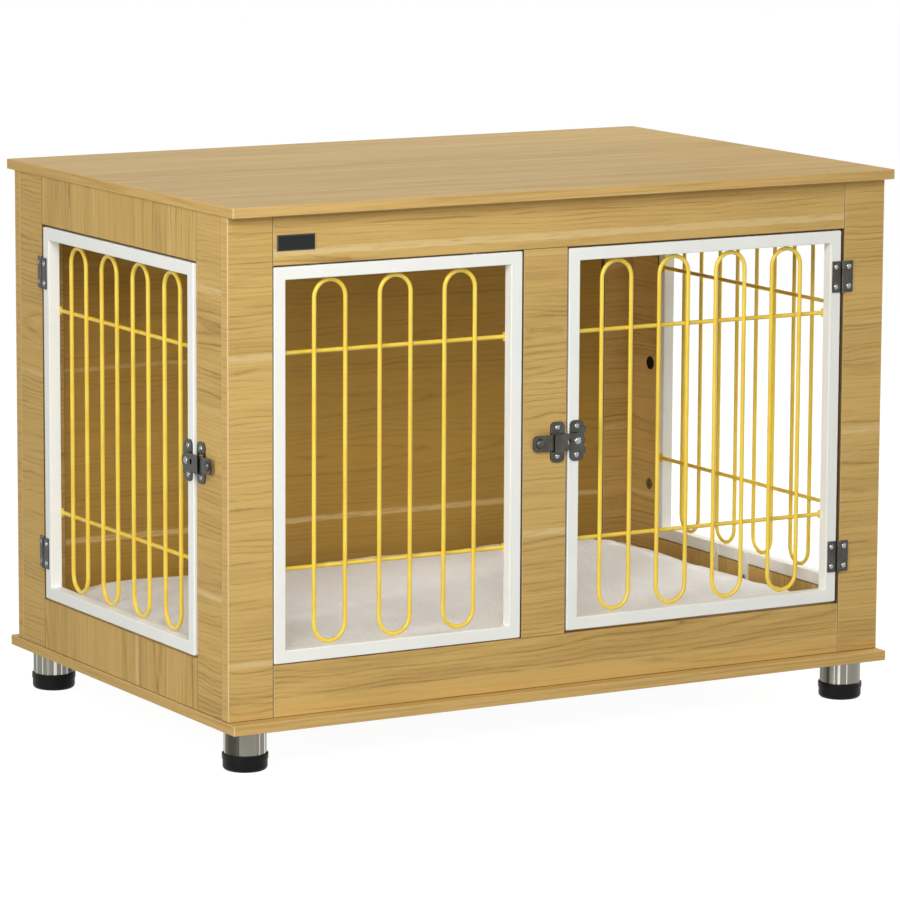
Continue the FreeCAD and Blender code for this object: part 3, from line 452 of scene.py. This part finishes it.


# %% [markdown]
# In a studio a steel tube mirrors dark and light strips, side by side. Our room is white all
# round, so painted reflections stand in for them: darker and lighter colour bands along the tube,
# with a thin painted highlight in some. They come from a noise that only knows where a point lies
# round its tube, with fine scratches on top.


# %% Brushed tube of the feet
def brushed_tube():
    finish = Finish("brushed_tube", Metallic=1.0, Anisotropic=0.6, Anisotropic_Rotation=0.25)
    x, y, z = place_in_mm(finish)
    low, high = (corner * 1000 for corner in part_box("front_right_leg_tube"))
    round_x = x.math("ABSOLUTE") - (low[0] + high[0]) / 2
    round_y = y.math("ABSOLUTE") + (low[1] + high[1]) / 2
    # painted reflections: band says where a point lies round the tube
    band = cloud(finish, round_x * 0.085, round_y * 0.085, 4.3, 1.0)
    scratch = cloud(finish, x * 0.03, y * 0.03, z * 5, 3.0, 0.6)
    # painted reflection: darker and lighter colour bands along the tube
    colour = blend_colours(finish, rise(finish, band, 0.40, 0.50), (0.040, 0.038, 0.030), (0.235, 0.228, 0.190))
    # painted highlight: a thin pale streak inside some bands
    painted_glint = rise(finish, (band - 0.58).math("ABSOLUTE"), 0.035, 0.01)
    colour = blend_colours(finish, painted_glint, colour, (0.84, 0.83, 0.77))
    finish.feed("Base Color", blend_colours(finish, scratch * 0.35, colour, (0.18, 0.175, 0.150)))
    finish.feed("Roughness", 0.2 + scratch * 0.12)
    relief(finish, scratch, 0.00003, 0.4)
    return finish.material


BRUSHED_WITH_PAINTED_REFLECTIONS = brushed_tube()
print("tube:", BRUSHED_WITH_PAINTED_REFLECTIONS.name)


# %% Plastic, slate grey and beech
def plain(name, colour, other, rough, grain, bump, **constants):
    """A finish that wanders between two near colours, with a fine grain."""
    finish = Finish(name, **constants)
    x, y, z = place_in_mm(finish)
    slow = cloud(finish, x * 0.06, y * 0.06, z * 0.06)
    fine = cloud(finish, x * grain[0], y * grain[1], z * grain[2], 2.0)
    share = rise(finish, slow * 0.5 + fine * 0.5, 0.35, 0.68)
    finish.feed("Base Color", blend_colours(finish, share, colour, other))
    finish.feed("Roughness", rough + fine * 0.15)
    relief(finish, fine, bump, 0.6)
    return finish.material


BLACK = plain(
    "black_plastic", (0.004, 0.004, 0.004), (0.009, 0.009, 0.009), 0.32, (1.5, 1.5, 1.5), 0.0001,
    Specular_IOR_Level=0.12,
)
BEECH = plain("turned_beech", (0.62, 0.44, 0.26), (0.54, 0.36, 0.19), 0.55, (0.3, 0.3, 2.0), 0.0002)
print("plain finishes:", BLACK.name, BEECH.name)


# %% The blank nameplate
def slate():
    """Dark grey print with a painted highlight on the bevel: a lighter border, 1.3 mm wide."""
    finish = Finish("slate_plate", Specular_IOR_Level=0.1, Roughness=0.35)
    x, y, z = place_in_mm(finish)
    low, high = (corner * 1000 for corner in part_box("nameplate"))
    inside = ((x - low[0]).math("MINIMUM", (x - high[0]) * -1)).math("MINIMUM", z - low[2])
    # painted highlight: a lighter border along the bevel
    bevel_highlight = rise(finish, inside.math("MINIMUM", (z - high[2]) * -1), 1.5, 1.0)
    brushed = cloud(finish, x * 0.4, y * 2, z * 2)
    colour = blend_colours(finish, brushed, (0.012, 0.014, 0.013), (0.026, 0.030, 0.028))
    # painted highlight laid over the print at the border
    finish.feed("Base Color", blend_colours(finish, bevel_highlight, colour, (0.085, 0.092, 0.088)))
    relief(finish, brushed - bevel_highlight, 0.0001, 0.5)
    return finish.material


SLATE = slate()
print("nameplate:", SLATE.name)

# %% Dress the metalwork and the rest
DRESSES = {
    WHITE: ["front_door_frame", "front_window_frame", "right_window_frame", "side_door_frame", "window_tabs"],
    YELLOW: ["front_door_grille", "front_window_grille", "right_window_grille", "side_door_grille"],
    NICKEL: [
        f"{door}_{part}"
        for door in ("front", "side")
        for part in ("hinge_door_leaves", "hinge_fixed_leaves", "latch_bar", "latch_keeper", "latch_plate")
    ],
    ZINC: [
        "base_screws", "cam_bolts", "cam_locks", "carcass_fitting_screws", "front_door_screws",
        "front_hinge_pins", "front_latch_pivot", "leg_studs", "side_door_screws", "side_hinge_pins",
        "side_latch_pivot", "window_grille_screws", "window_pins",
    ],
    BRUSHED_WITH_PAINTED_REFLECTIONS: [f"{corner}_leg_tube" for corner in ("front_left", "front_right", "rear_left", "rear_right")],
    BLACK: ["leg_cups", "cam_cover_caps"],
    SLATE: ["nameplate"],
    BEECH: ["rail_dowels"],
}
for material, nodes in DRESSES.items():
    for node in nodes:
        dress(node, material)
print("dressed:", sum(len(nodes) for nodes in DRESSES.values()), "more nodes")

# %% [markdown]
# ## Weld beads with Geometry Nodes
# Each wire loop is spot welded to two level wires, which leaves a small bead at every crossing.
# There are sixty of them, all alike, so one small node tree makes them: it puts the same flattened
# ball on every point of a list, turns the copies into real mesh, and gives them their paint. The
# list of points is all that changes from one grille to the next.


# %% A node tree that puts a bead on every point
def bead_tree():
    """Geometry Nodes: a flattened ball on each point, with its size as inputs."""
    tree = bpy.data.node_groups.new("weld_beads", "GeometryNodeTree")
    face = tree.interface
    face.new_socket("Geometry", in_out="INPUT", socket_type="NodeSocketGeometry")
    face.new_socket("Bead Radius", in_out="INPUT", socket_type="NodeSocketFloat")
    face.new_socket("Bead Shape", in_out="INPUT", socket_type="NodeSocketVector")
    face.new_socket("Paint", in_out="INPUT", socket_type="NodeSocketMaterial")
    face.new_socket("Geometry", in_out="OUTPUT", socket_type="NodeSocketGeometry")
    made = {
        kind: tree.nodes.new(kind)
        for kind in (
            "NodeGroupInput", "GeometryNodeMeshIcoSphere", "GeometryNodeInstanceOnPoints",
            "GeometryNodeRealizeInstances", "GeometryNodeSetMaterial", "NodeGroupOutput",
        )
    }
    start, ball, copies, real, paint, end = made.values()
    ball.inputs["Subdivisions"].default_value = 2
    link = tree.links.new
    link(start.outputs["Bead Radius"], ball.inputs["Radius"])
    link(start.outputs["Geometry"], copies.inputs["Points"])
    link(ball.outputs["Mesh"], copies.inputs["Instance"])
    link(start.outputs["Bead Shape"], copies.inputs["Scale"])
    link(copies.outputs["Instances"], real.inputs[0])
    link(real.outputs[0], paint.inputs["Geometry"])
    link(start.outputs["Paint"], paint.inputs["Material"])
    link(paint.outputs[0], end.inputs[0])
    return tree


BEADS = bead_tree()
print("tree:", BEADS.name, "with", len(BEADS.nodes), "nodes")


# %% Run a tree on some points and keep the mesh
def grow(name, points, tree, **inputs):
    """A plain mesh piece from a node tree that starts from points."""
    seedbed = bpy.data.meshes.new(name)
    seedbed.from_pydata(points, [], [])
    piece = bpy.data.objects.new(name, seedbed)
    bpy.context.scene.collection.objects.link(piece)
    modifier = piece.modifiers.new("grow", "NODES")
    modifier.node_group = tree
    for item in tree.interface.items_tree:
        key = item.name.replace(" ", "_").lower()
        if item.in_out == "INPUT" and key in inputs:
            modifier[item.identifier] = inputs[key]
    bpy.context.view_layer.update()
    evaluated = piece.evaluated_get(bpy.context.evaluated_depsgraph_get())
    mesh = bpy.data.meshes.new_from_object(evaluated)
    piece.modifiers.clear()
    piece.data = mesh
    return piece


# %% Where the wires cross
LOOP_WIDTH = 0.0456  # over the outsides of a loop's legs
LOOP_RADIUS = 0.0203  # from the middle of a loop to the middle of its leg
CROSSINGS = {
    "front_window_grille": (X, 3, "carcass"), "right_window_grille": (Y, 4, "carcass"),
    "front_door_grille": (X, 4, "front_door"), "side_door_grille": (Y, 4, "side_door"),
}


def crossings(grille, across, loops):
    """The welds of one grille, from its outer box and the spacing that the loops share."""
    low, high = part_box(grille)
    frame_low, frame_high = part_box(grille.replace("grille", "frame"))
    inner_low, inner_high = frame_low[across] + 0.015, frame_high[across] - 0.015
    gap = (inner_high - inner_low - loops * LOOP_WIDTH) / (loops + 1)
    heights = (frame_low[Z] + 0.015 + 0.092, frame_high[Z] - 0.015 - 0.086)
    depth = 1 - across
    inwards = 1 if frame_low[depth] + frame_high[depth] < 0 else -1
    outer = frame_low[depth] if inwards > 0 else frame_high[depth]
    points = []
    for loop in range(loops):
        middle = inner_low + gap + LOOP_WIDTH / 2 + loop * (gap + LOOP_WIDTH)
        for side in (-LOOP_RADIUS, LOOP_RADIUS):
            for height in heights:
                point = [0, 0, height]
                point[across], point[depth] = middle + side, outer + inwards * 0.0137
                points.append(point)
    return points


# %% Lay the beads
welds = {}
for grille, (across, loops, body) in CROSSINGS.items():
    welds.setdefault(body, []).extend(crossings(grille, across, loops))
for body, points in welds.items():
    beads = grow(f"{body}_weld_beads", points, BEADS, bead_radius=0.0026, bead_shape=(0.95, 0.95, 1.1), paint=YELLOW)
    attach(beads, body)
    print(beads.name, len(points), "beads,", len(beads.data.polygons), "faces")

# %% [markdown]
# ## The cushion
# The cushion is a flat bag of loose filling in cream plush. It is crowned, its sides are drawn in
# between the corners, and its cover puckers a little everywhere. We first build the sewn bag as
# two sheets that meet at a seam round the middle of its edge. Then Blender's cloth solver blows
# it up gently with the seam and the underside held, which gives the soft swelling that hand
# modelling seldom gets right.

# %% The sewn bag's outline
SEAT = 0.0623  # the upper face of the base board, and a hair
HALF_LENGTH, HALF_WIDTH = 0.4265, 0.2610
SEAM_RISE, EDGE_RISE, CROWN = 0.030, 0.0600, 0.0


def outline(share):
    """A point on the seam, where share runs from 0 to 1 round the cushion."""
    angle = 2 * math.pi * share
    c, s = math.cos(angle), math.sin(angle)
    power = 0.16
    x = math.copysign(abs(c) ** power, c)
    y = math.copysign(abs(s) ** power, s)
    pull_x = 1 - 0.016 * (1 - y * y)
    pull_y = 1 - 0.020 * (1 - x * x)
    return Vector((HALF_LENGTH * x * pull_x, HALF_WIDTH * y * pull_y, 0))


print("seam corner at", [round(v, 3) for v in outline(0.125)])


# %% The two sheets
def bag(rings=26, steps=160):
    """A closed mesh of rings that shrink towards the middle, above and below the seam."""
    work = bmesh.new()
    seam = [outline(i / steps) for i in range(steps)]

    def ring(shrink, height):
        rounded = 1 - shrink
        return [work.verts.new((p.x * rounded, p.y * rounded, SEAT + height)) for p in seam]

    rows = []
    for i in range(-rings, rings + 1):
        share = abs(i) / rings
        swell = math.sqrt(1 - (1 - min(1.0, share * 14)) ** 2)
        if i < 0:
            height = SEAM_RISE * (1 - swell)
        else:
            height = SEAM_RISE + (EDGE_RISE - SEAM_RISE) * swell + CROWN * (1 - (1 - share) ** 2)
        rows.append(ring(0.02 * swell + 0.955 * share ** 1.15, height))
    for lower, upper in zip(rows, rows[1:]):
        for i in range(steps):
            j = (i + 1) % steps
            work.faces.new((lower[i], lower[j], upper[j], upper[i]))
    work.faces.new(rows[0][::-1])
    work.faces.new(rows[-1])
    bmesh.ops.recalc_face_normals(work, faces=work.faces)
    mesh = bpy.data.meshes.new("cushion_cover")
    work.to_mesh(mesh)
    work.free()
    return mesh


cushion = bpy.data.objects.new("cushion_cover", bag())
bpy.context.scene.collection.objects.link(cushion)
print("bag:", len(cushion.data.vertices), "points")


# %% Keep the result of a modifier
def settle(piece):
    """Replace a piece's mesh by what its modifiers make of it."""
    evaluated = piece.evaluated_get(bpy.context.evaluated_depsgraph_get())
    mesh = bpy.data.meshes.new_from_object(evaluated)
    piece.modifiers.clear()
    piece.data = mesh


remesh = cushion.modifiers.new("even", "REMESH")
remesh.mode, remesh.voxel_size = "VOXEL", 0.006
settle(cushion)
print("even mesh:", len(cushion.data.vertices), "points")


# %% Blow it up with cloth
def inflate(piece, pressure=4.0, cap=0.006):
    """Twenty frames of cloth with air inside; no point moves further than the cap."""
    before = [v.co.copy() for v in piece.data.vertices]
    held = piece.vertex_groups.new(name="held")
    for vertex in piece.data.vertices:
        rise_here = vertex.co.z - SEAT
        if rise_here < 0.004 or (abs(rise_here - SEAM_RISE) < 0.003 and vertex.normal.z < 0.4):
            held.add([vertex.index], 1.0, "REPLACE")
    cloth = piece.modifiers.new("cloth", "CLOTH")
    cloth.settings.quality = 6
    cloth.settings.vertex_group_mass = "held"
    cloth.settings.use_pressure = True
    cloth.settings.uniform_pressure_force = pressure
    cloth.settings.effector_weights.gravity = 0
    cloth.settings.tension_stiffness = cloth.settings.compression_stiffness = 12
    cloth.settings.bending_stiffness = 0.4
    for step in range(1, 21):
        bpy.context.scene.frame_set(step)
    settle(piece)
    for vertex, old in zip(piece.data.vertices, before):
        move = vertex.co - old
        if move.length > cap:
            vertex.co = old + move * (cap / move.length)
    bpy.context.scene.frame_set(1)


inflate(cushion)
top = max(v.co.z for v in cushion.data.vertices)
print("inflated: top at", round(top, 4))

# %% [markdown]
# Loose filling never lies level. A few smooth noises move the upper sheet up and down: broad
# hollows first, then smaller puckers that fade towards the seam. A weight keeps the underside
# flat, because it rests on the base board.


# %% Hollows and puckers
def rumple(piece):
    """Push the upper sheet up and down, and keep it clear of its neighbours."""
    for vertex in piece.data.vertices:
        p = vertex.co
        share = min(1.0, max(0.0, (p.z - SEAT - 0.012) / 0.02))
        broad = noise.noise(Vector((p.x * 5.5, p.y * 5.5, 3.1)))
        small = noise.noise(Vector((p.x * 17, p.y * 17, 8.7)))
        tiny = noise.noise(Vector((p.x * 60, p.y * 60, p.z * 40)))
        p += vertex.normal * share * (broad * 0.0045 + small * 0.0030 + tiny * 0.0006)
        p.z += share * 0.011 * min(1.0, max(0.0, (0.42 - p.x) / 0.22))
        p.x = min(0.430, max(-0.430, p.x))
        p.y = min(0.264, max(-0.264, p.y))
        p.z = max(SEAT, min(p.z, 0.1322 + (p.z - 0.1322) * 0.10))


rumple(cushion)
subdivide = cushion.modifiers.new("smooth", "SUBSURF")
subdivide.levels = subdivide.render_levels = 1
settle(cushion)
for polygon in cushion.data.polygons:
    polygon.use_smooth = True
print("cushion:", len(cushion.data.polygons), "faces")


# %% Cream plush
def plush():
    """Short pile: brushed swirls of light and shade, tufts, and a soft sheen at a low angle."""
    finish = Finish("cream_plush", Sheen_Weight=0.35, Sheen_Roughness=0.5, Specular_IOR_Level=0.15)
    x, y, z = place_in_mm(finish)
    turn = cloud(finish, x * 0.008, y * 0.008, z * 0.008) * 70
    swirl = cloud(finish, (x + turn) * 0.035, (y - turn) * 0.014, z * 0.02, 3.0, 0.6)
    tuft = cloud(finish, x * 0.28, y * 0.28, z * 0.28, 2.0)
    hair = cloud(finish, x * 1.1, y * 1.1, z * 1.1, 2.0)
    share = rise(finish, swirl * 0.6 + tuft * 0.25 + hair * 0.15, 0.34, 0.68)
    finish.feed("Base Color", blend_colours(finish, share, (0.930, 0.925, 0.905), (0.985, 0.982, 0.968)))
    finish.feed("Roughness", 0.82 + hair * 0.12)
    relief(finish, swirl * 1.6 + tuft + hair * 0.4, 0.0020, 0.7)
    return finish.material


PLUSH = plush()
cushion.data.materials.clear()
cushion.data.materials.append(PLUSH)
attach(cushion, "carcass")
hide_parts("cushion")
print("cushion dressed in", PLUSH.name)

# %% [markdown]
# Round the cushion runs a seam. Its cord and its stitches follow one closed line, so a second
# node tree makes both: it sweeps a small circle along the line for the cord, and sets a short
# stitch at even steps on top of it, turned along the line.


# %% A node tree for a welt and its stitches
def welt_tree():
    """Geometry Nodes: a cord swept along a closed line, with stitches at even steps."""
    tree = bpy.data.node_groups.new("welt_and_stitches", "GeometryNodeTree")
    face = tree.interface
    face.new_socket("Geometry", in_out="INPUT", socket_type="NodeSocketGeometry")
    for name in ("Cord Radius", "Stitch Step", "Stitch Radius", "Stitch Length"):
        face.new_socket(name, in_out="INPUT", socket_type="NodeSocketFloat")
    face.new_socket("Cloth", in_out="INPUT", socket_type="NodeSocketMaterial")
    face.new_socket("Geometry", in_out="OUTPUT", socket_type="NodeSocketGeometry")
    new, link = tree.nodes.new, tree.links.new
    start, end = new("NodeGroupInput"), new("NodeGroupOutput")
    line, cord, circle = new("GeometryNodeMeshToCurve"), new("GeometryNodeCurveToMesh"), new("GeometryNodeCurvePrimitiveCircle")
    circle.inputs["Resolution"].default_value = 10
    steps, copies, stitch = new("GeometryNodeCurveToPoints"), new("GeometryNodeInstanceOnPoints"), new("GeometryNodeMeshCylinder")
    steps.mode = "LENGTH"
    stitch.inputs["Vertices"].default_value = 6
    lift, join, real, paint = new("GeometryNodeTransform"), new("GeometryNodeJoinGeometry"), new("GeometryNodeRealizeInstances"), new("GeometryNodeSetMaterial")
    lift.inputs["Translation"].default_value = (0, 0, 0.0021)
    link(start.outputs["Geometry"], line.inputs[0])
    link(line.outputs[0], cord.inputs["Curve"])
    link(start.outputs["Cord Radius"], circle.inputs["Radius"])
    link(circle.outputs[0], cord.inputs["Profile Curve"])
    link(line.outputs[0], steps.inputs["Curve"])
    link(start.outputs["Stitch Step"], steps.inputs["Length"])
    link(start.outputs["Stitch Radius"], stitch.inputs["Radius"])
    link(start.outputs["Stitch Length"], stitch.inputs["Depth"])
    link(steps.outputs["Points"], copies.inputs["Points"])
    link(steps.outputs["Rotation"], copies.inputs["Rotation"])
    link(stitch.outputs["Mesh"], copies.inputs["Instance"])
    link(copies.outputs[0], lift.inputs["Geometry"])
    link(cord.outputs[0], join.inputs[0])
    link(lift.outputs[0], join.inputs[0])
    link(join.outputs[0], real.inputs[0])
    link(real.outputs[0], paint.inputs["Geometry"])
    link(start.outputs["Cloth"], paint.inputs["Material"])
    link(paint.outputs[0], end.inputs[0])
    return tree


WELT = welt_tree()
print("tree:", WELT.name, "with", len(WELT.nodes), "nodes")

# %% Sew the welt on
seam_line = bpy.data.meshes.new("seam_line")
seam_points = [outline(i / 240) * 1.002 + Vector((0, 0, SEAT + SEAM_RISE)) for i in range(240)]
seam_line.from_pydata(seam_points, [(i, (i + 1) % 240) for i in range(240)], [])
welt = bpy.data.objects.new("cushion_welt", seam_line)
bpy.context.scene.collection.objects.link(welt)
sewing = welt.modifiers.new("sew", "NODES")
sewing.node_group = WELT
SEWING = {
    "Cord Radius": 0.0022, "Stitch Step": 0.006, "Stitch Radius": 0.0005,
    "Stitch Length": 0.0036, "Cloth": PLUSH,
}
for item in WELT.interface.items_tree:
    if item.in_out == "INPUT" and item.name in SEWING:
        sewing[item.identifier] = SEWING[item.name]
bpy.context.view_layer.update()
settle(welt)
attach(welt, "carcass")
print("welt:", len(welt.data.polygons), "faces")

# %% [markdown]
# ## Light, floor and camera
# Product pictures are lit by big soft lamps in a white room. The world gives an even base light
# and looks plain white to the camera and in reflections. One large, high lamp from the front left
# models the shapes and leaves the upper back panel in the shade of the top rail. Two tall narrow
# ones at the left and the right add glints on the steel feet, on top of the painted reflections in
# their finish, one above evens out the table top, and one at the right shines through the window onto the cushion.


# %% A white room
world = bpy.data.worlds.new("white_room")
bpy.context.scene.world = world
world.use_nodes = True
nodes, link = world.node_tree.nodes, world.node_tree.links.new
seen = nodes.new("ShaderNodeLightPath")
either = nodes.new("ShaderNodeMath")
either.operation = "MAXIMUM"
link(seen.outputs["Is Camera Ray"], either.inputs[0])
link(seen.outputs["Is Glossy Ray"], either.inputs[1])
shown = nodes.new("ShaderNodeMath")
shown.operation = "MAXIMUM"
link(either.outputs[0], shown.inputs[0])
link(seen.outputs["Is Transmission Ray"], shown.inputs[1])
white = nodes.new("ShaderNodeBackground")
white.inputs["Color"].default_value = (1, 1, 1, 1)
choose = nodes.new("ShaderNodeMixShader")
soft = nodes["Background"]
soft.inputs["Color"].default_value = (1.0, 0.99, 0.97, 1)
soft.inputs["Strength"].default_value = 0.26
link(shown.outputs[0], choose.inputs[0])
link(soft.outputs[0], choose.inputs[1])
link(white.outputs[0], choose.inputs[2])
link(choose.outputs[0], nodes["World Output"].inputs["Surface"])
print("world base light:", soft.inputs["Strength"].default_value)


# %% Lamps
def lamp(name, place, aim, size, power, colour=(1, 1, 1)):
    """A rectangular soft box that points at a spot."""
    light = bpy.data.lights.new(name, "AREA")
    light.shape, light.size, light.size_y = "RECTANGLE", *size
    light.energy, light.color = power, colour
    holder = bpy.data.objects.new(name, light)
    holder.location = place
    holder.rotation_euler = (Vector(aim) - Vector(place)).to_track_quat("-Z", "Y").to_euler()
    bpy.context.scene.collection.objects.link(holder)
    return holder


MIDDLE = (0.0, 0.0, 0.33)
lamp("key", (-1.5, -2.2, 1.75), MIDDLE, (1.3, 1.3), 47)
lamp("left strip", (-3.0, -1.3, 0.95), (-0.4, -0.2, 0.3), (0.2, 1.8), 30)
lamp("right strip", (1.0, -3.3, 0.95), (0.0, -0.3, 0.3), (0.2, 1.8), 9)
lamp("top", (0.9, 2.2, 2.2), MIDDLE, (1.6, 1.6), 13)
lamp("through the right window", (2.5, 0.1, 1.2), (0.1, 0.0, 0.1), (1.2, 1.2), 48)
print("lamps:", len(bpy.data.lights))


# %% The floor
def floor_finish():
    """White to the camera, but still dark where the object shades it."""
    material = bpy.data.materials.new("white_floor")
    material.use_nodes = True
    nodes, link = material.node_tree.nodes, material.node_tree.links.new
    skin = nodes["Principled BSDF"]
    skin.inputs["Base Color"].default_value = (0.35, 0.35, 0.35, 1)
    skin.inputs["Roughness"].default_value = 0.9
    skin.inputs["Specular IOR Level"].default_value = 0.0
    glow = nodes.new("ShaderNodeEmission")
    glow.inputs["Strength"].default_value = 1.92
    seen = nodes.new("ShaderNodeLightPath")
    both = nodes.new("ShaderNodeMath")
    both.operation = "MAXIMUM"
    link(seen.outputs["Is Camera Ray"], both.inputs[0])
    link(seen.outputs["Is Glossy Ray"], both.inputs[1])
    share = nodes.new("ShaderNodeMath")
    share.operation = "MULTIPLY"
    share.inputs[1].default_value = 0.5
    link(both.outputs[0], share.inputs[0])
    mix = nodes.new("ShaderNodeMixShader")
    link(share.outputs[0], mix.inputs[0])
    link(skin.outputs[0], mix.inputs[1])
    link(glow.outputs[0], mix.inputs[2])
    link(mix.outputs[0], nodes["Material Output"].inputs["Surface"])
    return material


floor_mesh = bpy.data.meshes.new("floor")
floor_mesh.from_pydata([(-9, -9, 0), (9, -9, 0), (9, 9, 0), (-9, 9, 0)], [], [(0, 1, 2, 3)])
floor = bpy.data.objects.new("floor", floor_mesh)
floor_mesh.materials.append(floor_finish())
bpy.context.scene.collection.objects.link(floor)
print("floor laid")

# %% The camera
AZIMUTH, ELEVATION, ROLL = math.radians(-29.925), math.radians(9.339), math.radians(0.283)
ahead = Vector((-math.sin(AZIMUTH) * math.cos(ELEVATION), math.cos(AZIMUTH) * math.cos(ELEVATION), -math.sin(ELEVATION)))
level = Vector((math.cos(AZIMUTH), math.sin(AZIMUTH), 0))
over = level.cross(ahead)
right = level * math.cos(ROLL) + over * math.sin(ROLL)
up = over * math.cos(ROLL) - level * math.sin(ROLL)
camera = bpy.data.objects.new("camera", bpy.data.cameras.new("camera"))
camera.matrix_world = Matrix.Translation((-2.9917, -5.2052, 1.2901)) @ Matrix((right, up, -ahead)).transposed().to_4x4()
camera.data.sensor_width, camera.data.lens = 36.0, 198.42
camera.data.clip_end = 100.0
bpy.context.scene.collection.objects.link(camera)
bpy.context.scene.camera = camera
bpy.context.scene.view_settings.view_transform = "Standard"
print("camera:", [round(v, 3) for v in camera.location], "lens", camera.data.lens)
